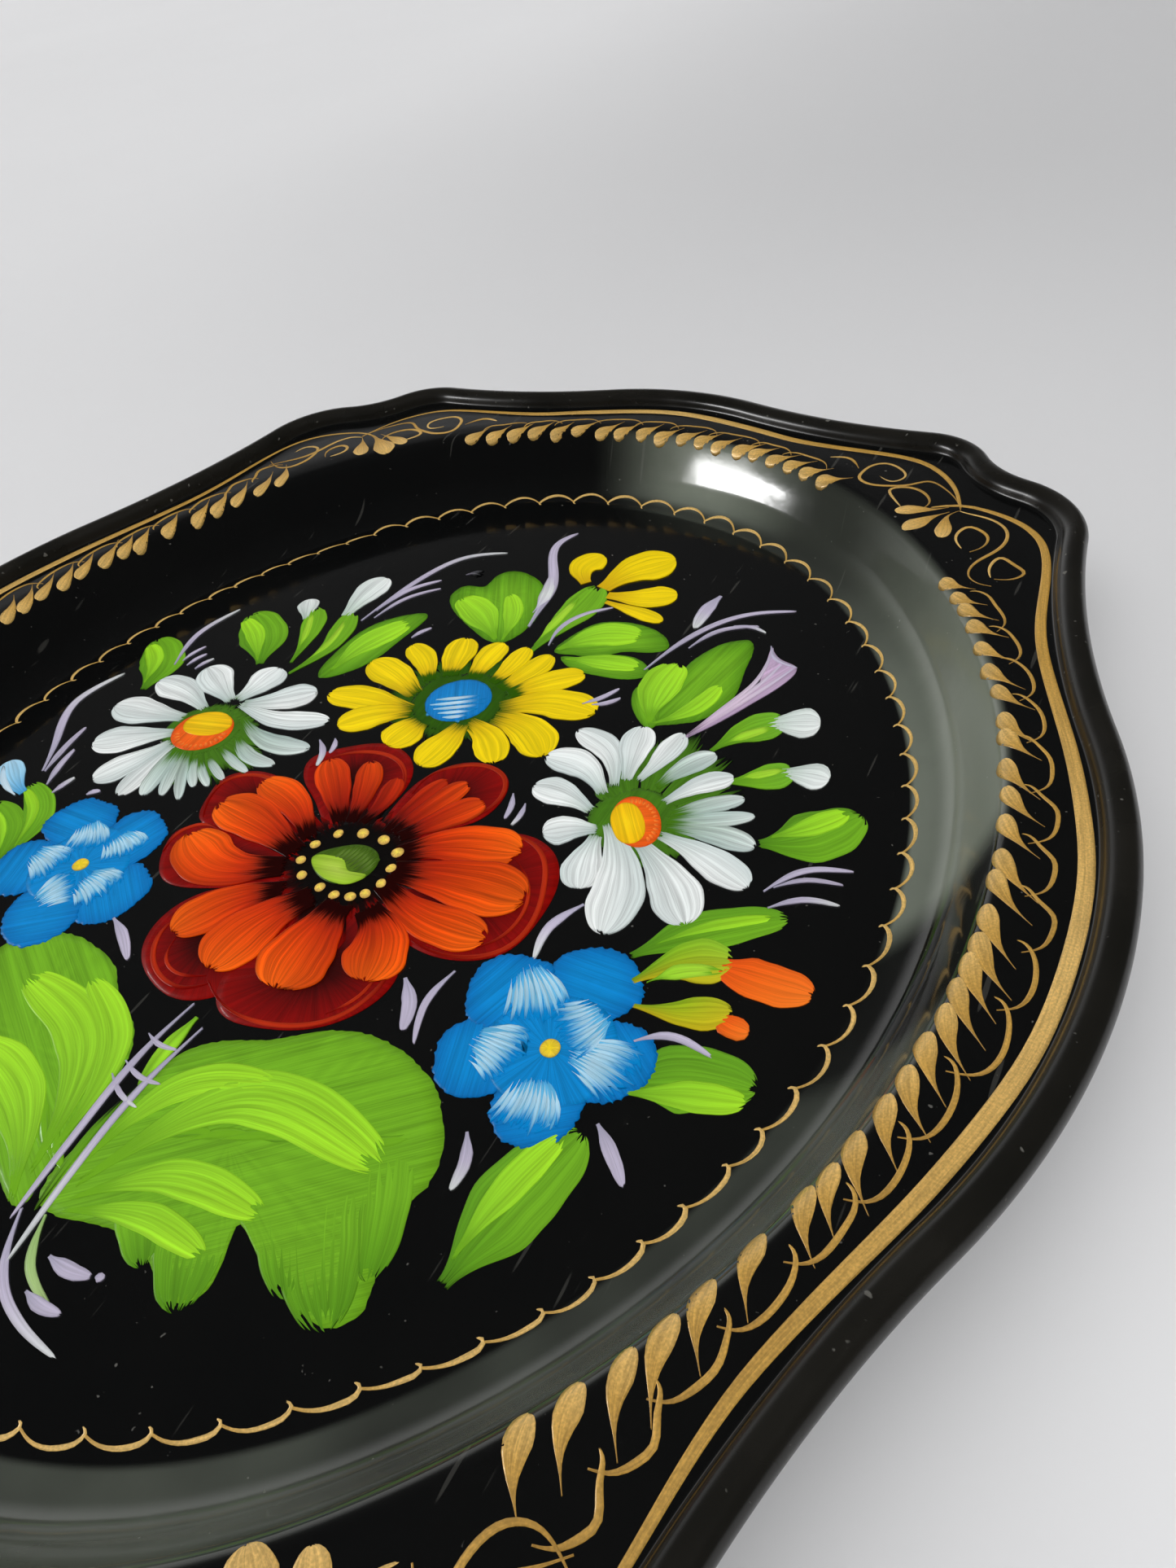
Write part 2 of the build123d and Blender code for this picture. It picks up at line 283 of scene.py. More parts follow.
# ---- node helpers -----------------------------------------------------------------------------
class Nodes:
    """Short way to wire a material: add nodes, set sockets by name and link them."""

    def __init__(self, name, world=False):
        self.owner = bpy.data.worlds.new(name) if world else bpy.data.materials.new(name)
        self.owner.use_nodes = True
        self.tree = self.owner.node_tree
        self.shader = self.tree.nodes["Background" if world else "Principled BSDF"]

    def set(self, node, **sockets):
        """Set sockets by name, or by _number; a socket given as a value is linked instead."""
        for key, value in sockets.items():
            names = [socket.name for socket in node.inputs]
            index = int(key[1:]) if key[0] == "_" else names.index(key.replace("_", " "))
            if isinstance(value, bpy.types.NodeSocket):
                self.tree.links.new(value, node.inputs[index])
            else:
                node.inputs[index].default_value = value

    def add(self, kind, settings=(), out=0, **sockets):
        """Add a node, set it up and return its output number out."""
        node = self.tree.nodes.new("ShaderNode" + kind)
        for key, value in dict(settings).items():
            setattr(node, key, value)
        self.set(node, **sockets)
        return node.outputs[out]

    def math(self, operation, first, second=0, clamp=False):
        """One arithmetic step on two values or sockets."""
        return self.add("Math", {"operation": operation, "use_clamp": clamp}, _0=first, _1=second)

    def times(self, first, second):
        """Product of two values or sockets."""
        return self.math("MULTIPLY", first, second)

    def ramp(self, value, low, high, out_low=0, out_high=1):
        """Smooth change from out_low to out_high while the value goes from low to high."""
        return self.add("MapRange", {"interpolation_type": "SMOOTHSTEP"}, Value=value, From_Min=low,
                        From_Max=high, To_Min=out_low, To_Max=out_high)

    def mix(self, factor, first, second):
        """Blend of two colours by a factor."""
        node = self.tree.nodes.new("ShaderNodeMix")
        node.data_type = "RGBA"
        self.set(node, _0=factor, _6=first, _7=second)
        return node.outputs[2]

    def noise(self, vector, scale, detail=2, roughness=0.5):
        """Cloudy noise value at a place."""
        return self.add("TexNoise", Vector=vector, Scale=scale, Detail=detail, Roughness=roughness)

    def stretch(self, vector, scale):
        """Vector with its parts multiplied by those of scale."""
        return self.add("VectorMath", {"operation": "MULTIPLY"}, _0=vector, _1=scale)

    def attribute(self, name, out=0):
        """Attribute of the mesh: output 0 is its colour, 1 its vector."""
        return self.add("Attribute", {"attribute_name": name}, out)


def linear(red, green, blue):
    """Scene colour from display values 0 to 255."""
    values = [channel / 255 for channel in (red, green, blue)]
    return tuple(v / 12.92 if v <= 0.04045 else ((v + 0.055) / 1.055) ** 2.4 for v in values) + (1,)


# ---- the studio, metres and watts --------------------------------------------------------------
FLOOR_RADIUS, FLOOR_SIDES = 5, 96
COVE = [(FLOOR_RADIUS, 0), (5.35, 0.05), (5.65, 0.2), (5.85, 0.45), (5.95, 0.8), (6, 1.3), (6, 6)]
WINDOW_PLACE, WINDOW_TARGET = Vector((-0.560, -0.331, 0.230)), Vector((0.032, 0.136, 0.012))
WINDOW_SIZE, WINDOW_LEAN, WINDOW_POWER = (0.31, 0.078), 25, 3.2
SKIES = [("soft_sky", (-0.16, -0.08, 0.98), 1.40, 80), ("fill_sky", (0.62, -0.25, 0.74), 2, 50)]
GLOW_FROM = (-0.72, 0.66, 0.208)        # direction of the pale wall that the well's far side mirrors
ROOM_GLOW, ROOM_DIM = 0.9, 0.04


def add_window():
    """Rectangular window that only shows as a highlight on the far wall of the well."""
    data = bpy.data.lights.new("window", "AREA")
    data.shape, data.energy = "RECTANGLE", WINDOW_POWER
    data.size, data.size_y = WINDOW_SIZE
    window = bpy.data.objects.new("window", data)
    window.location = WINDOW_PLACE
    window.rotation_euler = (WINDOW_TARGET - WINDOW_PLACE).to_track_quat("-Z", "Y").to_euler()
    window.rotation_euler.rotate_axis("Z", math.radians(WINDOW_LEAN))
    window.visible_diffuse = False
    bpy.context.scene.collection.objects.link(window)


def add_studio():
    """Pale floor and cove, a dim room with a glow on one side, a window and two skies without highlights."""
    paper = floor_material()
    turns = np.linspace(0, 2 * math.pi, FLOOR_SIDES, endpoint=False)
    around = np.column_stack([np.cos(turns), np.sin(turns)])
    cove = [np.column_stack([radius * around, np.full(FLOOR_SIDES, z)]) for radius, z in COVE]
    cove = np.concatenate(cove) / MM
    floor = new_object("floor", cove[:FLOOR_SIDES], [list(range(FLOOR_SIDES))])
    backdrop_wall = new_object("backdrop_wall", cove, ring_faces(len(COVE), FLOOR_SIDES))
    backdrop_wall.visible_glossy = False
    for piece in (floor, backdrop_wall):
        piece.data.materials.append(paper)

    world = Nodes("room", world=True)
    place = world.add("TexCoord", out=0)
    height = world.add("SeparateXYZ", out=2, Vector=place)
    beyond = world.add("VectorMath", {"operation": "DOT_PRODUCT"}, out=1, _0=place, _1=GLOW_FROM)
    glow = world.ramp(beyond, 0.62, 0.97, 0, ROOM_GLOW)
    glow = world.times(glow, world.ramp(height, 0.16, 0.50, 1, ROOM_DIM))
    world.set(world.shader, Color=(1, 1, 1, 1), Strength=world.math("ADD", glow, ROOM_DIM))
    bpy.context.scene.world = world.owner
    add_window()
    for name, direction, energy, spread in SKIES:
        sky = bpy.data.lights.new(name, "SUN")
        sky.energy, sky.angle = energy, math.radians(spread)
        lamp = bpy.data.objects.new(name, sky)
        lamp.rotation_euler = Vector(direction).to_track_quat("Z", "Y").to_euler()
        lamp.visible_glossy = False
        bpy.context.scene.collection.objects.link(lamp)
    bpy.context.scene.view_settings.view_transform = "Standard"


def floor_material():
    """Matt pale paper, with painted shade that darkens it beyond the tray's far corner and painted light that
    lightens it on the tray's right.
    """
    paper = Nodes("pale_floor")
    place = paper.add("TexCoord", out=3)
    grain = paper.noise(place, 3, 3)
    across = paper.add("SeparateXYZ", out=0, Vector=place)
    along = across.node.outputs[1]
    # painted shade: the paper is darker beyond the tray's far corner, near the tray
    painted_far_shade = paper.times(paper.ramp(across, -0.55, 0.05), paper.ramp(along, -0.05, 0.5))
    by_tray = paper.ramp(paper.add("VectorMath", {"operation": "LENGTH"}, out=1, _0=place), 0.9, 2.5, 1, 0)
    tone = paper.mix(grain, linear(222, 222, 223), linear(228, 228, 229))
    tone = paper.mix(paper.times(painted_far_shade, by_tray), tone, linear(198, 198, 199))
    # painted light: the paper is lighter on the tray's right, over the tray's soft shadow
    painted_right_light = paper.times(paper.ramp(across, 0.12, 0.19), paper.ramp(along, -0.06, 0.06, 1, 0))
    tone = paper.mix(paper.times(painted_right_light, by_tray), tone, linear(246, 246, 247))
    paper.set(paper.shader, Base_Color=tone, Roughness=0.8)
    return paper.owner


# Where the painted sheen (a painted reflection of the pale room) starts and ends on the wall: arc length or
# slant, from and to, in millimetres
SHEEN_STEEPNESS = 1.2       # slant is arc length less this share of the reach
NEAR_END, SIDE_START, SIDE_FADE = (-34, -26), (-2, 10), (56, 130)
FAR_START, FAR_END, SIDE_END = (136, 168), (172, 204), (172, 196)
WALL_LOW, WALL_TOP = (0.3, 1.7), (14.6, 17.6)


def lacquer_material():
    """Glossy black enamel with dust, hairline scratches and orange peel; softer on the wall, where a painted
    sheen stands for the reflection of the pale room.
    """
    lacquer = Nodes("black_lacquer_gloss")
    place = lacquer.add("TexCoord", out=3)
    across = lacquer.add("SeparateXYZ", out=0, Vector=place)
    cloud = lacquer.noise(place, 14, 5, 0.6)
    smear = lacquer.noise(place, 55, 4, 0.6)
    dust = lacquer.ramp(lacquer.noise(place, 900, 1), 0.77, 0.83)
    scratches = 0
    for turn, seed in ((0.5, 3), (1.9, 11), (2.6, 23)):
        stretched = lacquer.add("Mapping", Vector=place, Location=(seed, seed, 0), Rotation=(0, 0, turn),
                                Scale=(640, 62, 1))
        hairline = lacquer.ramp(lacquer.noise(stretched, 1, 0), 0.81, 0.86, 0, 0.3)
        scratches = lacquer.math("ADD", hairline, scratches)
    marks = lacquer.math("ADD", dust, scratches, True)
    tone = lacquer.mix(cloud, linear(6, 7, 8), linear(15, 15, 14))
    tone = lacquer.mix(lacquer.times(marks, 0.30), tone, linear(150, 148, 140))
    # Painted sheen: the enamel's colour on the wall turns grey where it should mirror the pale room, on the
    # right, near and far parts of the wall.
    wall = lacquer.attribute("wall_place", 1)
    s_place = lacquer.add("SeparateXYZ", out=0, Vector=wall)
    reach = s_place.node.outputs[1]
    on_wall = lacquer.times(lacquer.ramp(reach, *WALL_LOW), lacquer.ramp(reach, *WALL_TOP, 1, 0))
    on_wall = lacquer.times(on_wall, lacquer.ramp(across, -0.06, -0.02))
    slant = lacquer.math("SUBTRACT", s_place, lacquer.times(reach, SHEEN_STEEPNESS))
    side = lacquer.times(lacquer.ramp(slant, *SIDE_START), lacquer.ramp(s_place, *SIDE_FADE, 1, 0.16))
    near = lacquer.times(lacquer.ramp(slant, *NEAR_END, 1, 0.16), lacquer.ramp(slant, *SIDE_START, 1, 0))
    near = lacquer.times(near, lacquer.ramp(lacquer.noise(place, 21, 2), 0.3, 0.7, 0.10, 0.42))
    far = lacquer.times(lacquer.ramp(s_place, *FAR_START), lacquer.ramp(s_place, *FAR_END, 0.75, 0))
    far = lacquer.times(far, lacquer.ramp(reach, 3.5, 7, 0.1, 1))
    before_far = lacquer.ramp(s_place, *SIDE_END, 1, 0)
    painted_sheen = lacquer.times(lacquer.math("ADD", lacquer.times(side, before_far), near), on_wall)
    painted_sheen = lacquer.math("ADD", painted_sheen, lacquer.times(far, on_wall), True)
    # film is the painted sheen's strength, a little uneven
    film = lacquer.times(painted_sheen, lacquer.ramp(smear, 0.2, 0.8, 0.90, 1.08))
    # the painted sheen is lighter higher up the wall: painted light where the steeper wall gets less light
    sheen_grey = lacquer.mix(lacquer.ramp(reach, 5, 11), linear(110, 116, 105), linear(140, 147, 133))
    tone = lacquer.mix(film, tone, sheen_grey)
    softness = lacquer.math("ADD", lacquer.ramp(smear, 0.3, 0.75, 0.06, 0.13), lacquer.times(painted_sheen, 0.06))
    roughness = lacquer.math("ADD", softness, lacquer.times(marks, 0.3))
    peel = lacquer.noise(place, 260, 2)
    bump = lacquer.add("Bump", Strength=0.10, Distance=0.0002, Height=peel)
    lacquer.set(lacquer.shader, Base_Color=tone, Roughness=roughness, Normal=bump)
    return lacquer.owner


def rim_lacquer_material():
    """The same enamel on the rolled edge: handled, duller and a little brown, with chips of dust."""
    lacquer = Nodes("black_lacquer_rim")
    place = lacquer.add("TexCoord", out=3)
    cloud = lacquer.noise(place, 26, 4, 0.6)
    dust = lacquer.ramp(lacquer.noise(place, 700, 1), 0.72, 0.79)
    tone = lacquer.mix(cloud, linear(4, 7, 6), linear(38, 35, 30))
    tone = lacquer.mix(lacquer.times(dust, 0.35), tone, linear(150, 148, 140))
    bump = lacquer.add("Bump", Strength=0.15, Distance=0.0002, Height=lacquer.noise(place, 180, 3))
    lacquer.set(lacquer.shader, Base_Color=tone, Roughness=lacquer.ramp(cloud, 0.3, 0.7, 0.20, 0.34),
        Normal=bump)
    lacquer.set(lacquer.shader, Specular_IOR_Level=0.35)
    return lacquer.owner


# ---- brush strokes, millimetres --------------------------------------------------------------
# Layer numbers follow the order of painting: leaves 1 to 4, shades 3, petals 4 to 14, hearts 7 to 12,
# tendrils and stems 5 to 9, dots 9 to 14; the gold of the border lies alone, just over the lacquer.
LAYER = 0.035               # height step between paint layers
SINK = 0.06                 # how far a paint film's hidden underside sits inside the lacquer
LEAST = 0.012               # film over the lacquer even where a hair leaves a groove
ROW_STEP, COLUMN_STEP = 0.75, 0.42      # mesh spacing along and across a stroke
BLACK = (9, 9, 10)


def spline(points, count, closed=False):
    """Natural cubic curve through a few points, sampled evenly; closed curves wrap round."""
    knots = np.asarray(points, float)
    if closed:
        knots = np.concatenate([knots[-3:], knots, knots[:4]])
    t = np.concatenate([[0], np.cumsum(np.linalg.norm(np.diff(knots, axis=0), axis=1))])
    step = np.diff(t)
    system, right = np.eye(len(t)), np.zeros_like(knots)
    for i in range(1, len(t) - 1):
        system[i, i - 1:i + 2] = step[i - 1], 2 * (step[i - 1] + step[i]), step[i]
        right[i] = 6 * ((knots[i + 1] - knots[i]) / step[i] - (knots[i] - knots[i - 1]) / step[i - 1])
    bend = np.linalg.solve(system, right)
    at = np.linspace(t[3], t[-4], count + 1)[:-1] if closed else np.linspace(0, t[-1], count)
    i = np.clip(np.searchsorted(t, at, side="right") - 1, 0, len(t) - 2)
    after, before, gap = (at - t[i])[:, None], (t[i + 1] - at)[:, None], step[i][:, None]
    curve = (bend[i] * before ** 3 + bend[i + 1] * after ** 3) / (6 * gap)
    curve += (knots[i] / gap - bend[i] * gap / 6) * before
    return curve + (knots[i + 1] / gap - bend[i + 1] * gap / 6) * after


def smoothstep(t):
    """Smooth change from 0 to 1 while t does."""
    t = np.clip(t, 0, 1)
    return t * t * (3 - 2 * t)


def tone_at(tones, t):
    """Scene colour along t from display colours spaced evenly over it."""
    table = np.array([linear(*tone)[:3] for tone in tones])
    stations = np.linspace(0, 1, len(table))
    return np.stack([np.interp(t, stations, table[:, c]) for c in range(3)], -1)


def value_at(values, t):
    """Value along t from values spaced evenly over it."""
    values = np.atleast_1d(values)
    return np.interp(t, np.linspace(0, 1, len(values)), values)


# Stroke outlines, root to tip: width share at the root, where it is full, round nose share, blunt tip
PETAL = (0.30, 0.72, 0.30, 0)
FULL = (0.55, 0.45, 0.36, 0)
COMMA = (0.10, 0.80, 0.22, 0.12)
DROP = (0.04, 0.76, 0.26, 0)
LINER = (0.25, 0.40, 0.55, 0)
HATCH = (0.35, 0.40, 0.35, 0.35)
SPEAR = (0.04, 0.42, 0.62, 0)


class Film:
    """One painted motif: brush strokes gathered into a single mesh of thin closed shells."""

    def __init__(self, name, slot, replaced=()):
        self.name, self.slot, self.replaced = name, slot, replaced
        self.points, self.faces, self.paint, self.ground, self.hair = [], [], [], [], []
        self.count = 0

    def keep(self, xy, lift, paint, ground, hair):
        """Store vertices over the tray at plan points and lifts, and return their first index."""
        z, normal = surface(xy)
        top = np.concatenate([xy, z[..., None]], -1) + normal * lift[..., None]
        first = self.count
        self.points.append(top.reshape(-1, 3))
        self.paint.append(paint.reshape(-1, 4))
        self.ground.append(ground.reshape(-1, 3))
        self.hair.append(hair.reshape(-1, 3))
        self.count += top.size // 3
        return first

    def close(self, first, loop, *parts):
        """Sink copies of a clockwise loop of vertices, add the side faces down to them, return their start.

        first is the film's first vertex and parts are its plan points, paint, ground and hair.
        """
        xy, *rest = [part.reshape(-1, part.shape[-1])[loop - first] for part in parts]
        low = self.keep(xy, np.full(len(loop), -SINK), *rest)
        size = len(loop)
        for k in range(size):
            n = (k + 1) % size
            self.faces.append((int(loop[k]), int(loop[n]), low + n, low + k))
        return low

    def stroke(self, route, width, tones, shape=PETAL, cover=1.2, layer=0, thick=0.07, ragged=(0, 0.02),
               streak=0.10, edge=None, ground=BLACK):
        """One brush load along a route: spreads to its width, ridged by the bristles.

        tones and cover run from root to tip, ragged is how unevenly the hairs start and end, and
        edge is (colour, share) of a second colour loaded on the left side, or on the right if minus.
        """
        spine = spline(route, 90)
        length = np.linalg.norm(np.diff(spine, axis=0), axis=1).sum()
        rows = int(np.clip(length / ROW_STEP, 7, 140))
        columns = int(np.clip(width / COLUMN_STEP, 4, 30))
        v = np.linspace(-1, 1, columns)[None, :]
        # the hairs start and end unevenly
        begin = ragged[0] * RANDOM.random(columns)
        end = 1 - ragged[1] * RANDOM.random(columns)
        share = (1 - np.cos(math.pi * np.linspace(0, 1, rows)))[:, None] / 2
        t = begin + (end - begin) * share
        across = np.gradient(spine, axis=0)[:, ::-1] * (-1, 1)
        across /= np.linalg.norm(across, axis=1)[:, None]
        # half width: spreads from the root, rounds off at the tip and wanders a little
        root, full, nose, blunt = shape
        body = root + (1 - root) * smoothstep(t / full) ** (1 if root > 0.05 else 1.6)
        cap = np.sqrt(1 - np.clip((t - 1 + nose) / nose, 0, 1) ** 2)
        half = width / 2 * body * (blunt + (1 - blunt) * cap)
        swell = RANDOM.random(4) * 6
        wander = 1 + 0.035 * np.sin(t * 9 + swell[0] + v * 1.3)
        half = half * (wander + 0.02 * np.sin(t * 23 + swell[1] - v * 1.9))
        stations = np.linspace(0, 1, len(spine))
        where = [np.interp(t, stations, column) for column in (*spine.T, *across.T)]
        xy = np.stack([where[0] + where[2] * v * half, where[1] + where[3] * v * half], -1)
        # relief: ridges between the hairs, low at the root and along the sides
        ridge = RANDOM.random(columns) * 0.6 + 0.4 * np.sin(np.arange(columns) * 2.1 + RANDOM.random() * 6)
        body_lift = 0.35 + 0.65 * (1 - np.abs(v) ** 6) * (0.45 + 0.55 * ridge)
        lift = layer * LAYER + thick * body_lift * (0.35 + 0.65 * smoothstep(t * 2.5)) + LEAST
        shade = 1 + streak * (RANDOM.random(columns) - 0.5) * 2
        colour = tone_at(tones, t) * shade[..., None]
        if edge:                        # second colour along one side
            side = (1 + v * math.copysign(1, edge[1])) / 2
            blend = np.clip(abs(edge[1]) * side ** 1.3, 0, 1)[..., None]
            colour = colour * (1 - blend) + tone_at([edge[0]], t) * blend
        paint = np.concatenate([colour, value_at(cover, t)[..., None]], -1)
        base = np.broadcast_to(linear(*ground)[:3], colour.shape)
        seed = RANDOM.random() * 50
        hair = np.stack([np.broadcast_to(v * width / 2, t.shape), t * length, np.full(t.shape, seed)], -1)
        first = self.keep(xy, lift, paint, base, hair)
        for i in range(rows - 1):
            for j in range(columns - 1):
                a = first + i * columns + j
                self.faces.append((a, a + columns, a + columns + 1, a + 1))
        # sides and a flat underside close the shell
        index = first + np.arange(rows * columns).reshape(rows, columns)
        loop = np.concatenate([index[0], index[1:, -1], index[-1, -2::-1], index[-2:0:-1, 0]])
        low = self.close(first, loop, xy, paint, base, hair)
        place = {int(top): low + k for k, top in enumerate(loop)}
        left = [place[int(k)] for k in index[:, 0]]
        right = [place[int(k)] for k in index[:, -1]]
        self.faces.append([place[int(k)] for k in index[0]] + [right[1], left[1]])
        for i in range(1, rows - 2):
            self.faces.append((left[i], right[i], right[i + 1], left[i + 1]))
        self.faces.append([left[-2], right[-2]] + [place[int(k)] for k in index[-1, ::-1]])

    def blob(self, outline, centre, tones, cover=1.2, layer=0, thick=0.05, grain=None, streak=0.08, rough=0,
             rings=9):
        """Filled shape inside a closed outline; tones and cover run from its centre to its edge."""
        edge = spline(outline, max(48, int(len(outline) * 9)), closed=True)
        area = np.sum(edge[:, 0] * np.roll(edge[:, 1], -1) - edge[:, 1] * np.roll(edge[:, 0], -1))
        if area < 0:
            edge = edge[::-1]
        centre = np.asarray(centre, float)
        count = len(edge)
        edge = centre + (edge - centre) * (1 - rough * RANDOM.random(count))[:, None]
        share = np.linspace(0, 1, rings)[1:, None] ** 0.8
        xy = centre + (edge - centre)[None] * share[..., None]
        xy = np.concatenate([np.broadcast_to(centre, (1, 2)), xy.reshape(-1, 2)])
        f = np.concatenate([[0], np.repeat(share[:, 0], count)])
        angle = np.concatenate([[0], np.tile(np.arange(count), rings - 1)]) / count
        seed = RANDOM.random() * 50
        if grain is None:
            around = np.linalg.norm(edge - centre, axis=1).mean() * 2 * math.pi
            hair = np.stack([angle * around, f * 20, np.full(len(f), seed)], -1)
        else:
            along = np.array([math.cos(math.radians(grain)), math.sin(math.radians(grain))])
            hair = np.stack([xy @ (-along[1], along[0]), xy @ along, np.full(len(f), seed)], -1)
        shade = 1 + streak * np.sin(hair[:, 0] * 2.3 + 1.7 * np.sin(hair[:, 0] * 0.9 + seed))
        colour = tone_at(tones, f) * shade[:, None]
        paint = np.concatenate([colour, value_at(cover, f)[:, None]], -1)
        base = np.broadcast_to(linear(*BLACK)[:3], colour.shape)
        lift = layer * LAYER + LEAST + thick * (0.4 + 0.6 * (1 - f ** 8))
        first = self.keep(xy, lift, paint, base, hair)
        for j in range(count):
            k = (j + 1) % count
            self.faces.append((first, first + 1 + j, first + 1 + k))
            for i in range(rings - 2):
                a, b = first + 1 + i * count, first + 1 + (i + 1) * count
                self.faces.append((a + j, b + j, b + k, a + k))
        # sides and a flat underside close the shell
        loop = first + 1 + (rings - 2) * count + np.arange(count)[::-1]
        low = self.close(first, loop, xy, paint, base, hair)
        self.faces.append([low + k for k in range(count)])

    def finish(self):
        """Make the mesh with its paint attributes, coat it and place it on the tray."""
        piece = new_object(self.name, np.concatenate(self.points), self.faces)
        for label, kind, parts in (
            ("paint", "FLOAT_COLOR", self.paint), ("ground", "FLOAT_COLOR", self.ground),
            ("hair", "FLOAT_VECTOR", self.hair),
        ):
            values = np.concatenate(parts)
            if label == "ground":
                values = np.column_stack([values, np.ones(len(values))])
            layer = piece.data.attributes.new(label, kind, "POINT")
            layer.data.foreach_set("vector" if kind == "FLOAT_VECTOR" else "color", values.ravel())
        piece.data.materials.append(PAINTS[self.slot])
        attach(piece, "root")
        if self.replaced:
            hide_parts(*self.replaced)


# ---- materials ---------------------------------------------------------------------------------
def oil_paint(name, darkest=0.76):
    """Oil paint with bristle marks that run along each stroke, thin where its cover fades.

    darkest is how dark the grooves between the hairs get, as a share of the pigment's value.
    """
    oil = Nodes(name)
    hair = oil.attribute("hair", 1)
    pigment = oil.attribute("paint")
    cover = pigment.node.outputs[3]
    ground = oil.attribute("ground")
    fine = oil.noise(oil.stretch(hair, (3.6, 0.05, 1)), 1, 3, 0.6)
    broad = oil.noise(oil.stretch(hair, (0.9, 0.03, 1.7)), 1, 2)
    streaks = oil.math("ADD", oil.times(fine, 0.7), oil.times(broad, 0.5))
    seen = oil.ramp(oil.math("SUBTRACT", cover, streaks), -0.22, 0.12)
    value = oil.ramp(streaks, 0.35, 0.80, darkest, 1.14)
    tone = oil.add("HueSaturation", Color=pigment, Value=value)
    oil.set(oil.shader, Base_Color=oil.mix(seen, ground, tone))
    oil.set(oil.shader, Roughness=oil.ramp(seen, 0, 1, 0.14, 0.46))
    bump = oil.add("Bump", Strength=0.5, Distance=0.00012, Height=oil.times(streaks, seen))
    oil.set(oil.shader, Normal=bump, Coat_Weight=0.06, Coat_Roughness=0.12, Specular_IOR_Level=0.06)
    return oil.owner


def gold_paint():
    """Gold powder in varnish: warm, half metallic, streaky, thinner towards the tails."""
    gold = Nodes("gold_powder_paint")
    hair = gold.attribute("hair", 1)
    pigment = gold.attribute("paint")
    cover = pigment.node.outputs[3]
    streaks = gold.noise(gold.stretch(hair, (3, 0.12, 1)), 1, 3, 0.6)
    place = gold.add("TexCoord", out=3)
    grain = gold.noise(place, 2600, 2)
    seen = gold.ramp(gold.math("SUBTRACT", cover, gold.times(streaks, 0.9)), -0.2, 0.15)
    value = gold.times(gold.ramp(streaks, 0.3, 0.7, 0.80, 1.15), gold.ramp(grain, 0.35, 0.7, 0.88, 1.15))
    tone = gold.add("HueSaturation", Color=pigment, Value=value)
    gold.set(gold.shader, Base_Color=gold.mix(seen, linear(*BLACK), tone), Metallic=gold.times(seen, 0.15))
    gold.set(gold.shader, Roughness=gold.ramp(grain, 0.3, 0.7, 0.34, 0.5), Coat_Weight=0.25,
        Coat_Roughness=0.12)
    bump = gold.add("Bump", Strength=0.35, Distance=0.00008, Height=gold.math("ADD", streaks, grain))
    gold.set(gold.shader, Normal=bump)
    return gold.owner


# ---- the bouquet -------------------------------------------------------------------------------
GREEN_SHADE, MOSS, LEAF_DARK = (46, 88, 6), (70, 118, 24), (84, 141, 22)
LEAF, LIGHT, LIME = (115, 175, 34), (154, 216, 44), (171, 232, 44)
YELLOW, YELLOW_DEEP = (243, 212, 8), (214, 172, 8)
WHITE, WHITE_SHADE = (244, 248, 246), (176, 198, 188)
BLUE, BLUE_DEEP, PALE_BLUE = (6, 134, 206), (4, 114, 188), (168, 214, 238)
LILAC, STEM_WHITE = (192, 184, 206), (214, 218, 216)
LEAF_TONES, VEIN_TONES = [LEAF_DARK, LEAF, LEAF], [LEAF_DARK, (120, 182, 50)]
POPPY_MIDDLE = (6, -16)


def ellipse(centre, half_x, half_y, turn=0, count=10, uneven=0):
    """Outline points of an ellipse, optionally a little uneven."""
    angles = np.linspace(0, 2 * math.pi, count, endpoint=False)
    size = 1 + uneven * (RANDOM.random(count) - 0.5) * 2
    x, y = np.cos(angles) * half_x * size, np.sin(angles) * half_y * size
    c, s = math.cos(math.radians(turn)), math.sin(math.radians(turn))
    return np.column_stack([centre[0] + c * x - s * y, centre[1] + s * x + c * y])


def flower_shade(name, centre, reaches, tone, half_x, half_y, cover):
    """Dark strokes that reach out under a flower, as far as reaches says all round, and its dark middle."""
    shade = Film(name, "leaf_green")
    count, start, width = 34, 3, 4.6
    for k in range(count):
        angle = 2 * math.pi * (k + 0.4 * RANDOM.random()) / count
        reach = np.interp(k / count * len(reaches), np.arange(len(reaches) + 1), list(reaches) + [reaches[0]])
        reach *= 0.82 + 0.3 * RANDOM.random()
        ray = np.array([math.cos(angle), math.sin(angle)])
        route = [np.add(centre, ray * start), np.add(centre, ray * reach)]
        shade.stroke(route, width, [tone, tone], COMMA[:2] + (0.3, 0.2), (1.3, 1, 0.35), 3, 0.04, (0.05, 0.3))
    shade.blob(ellipse(centre, half_x, half_y, 0, 12, 0.06), centre, [tone], cover, 3, grain=90)
    shade.finish()


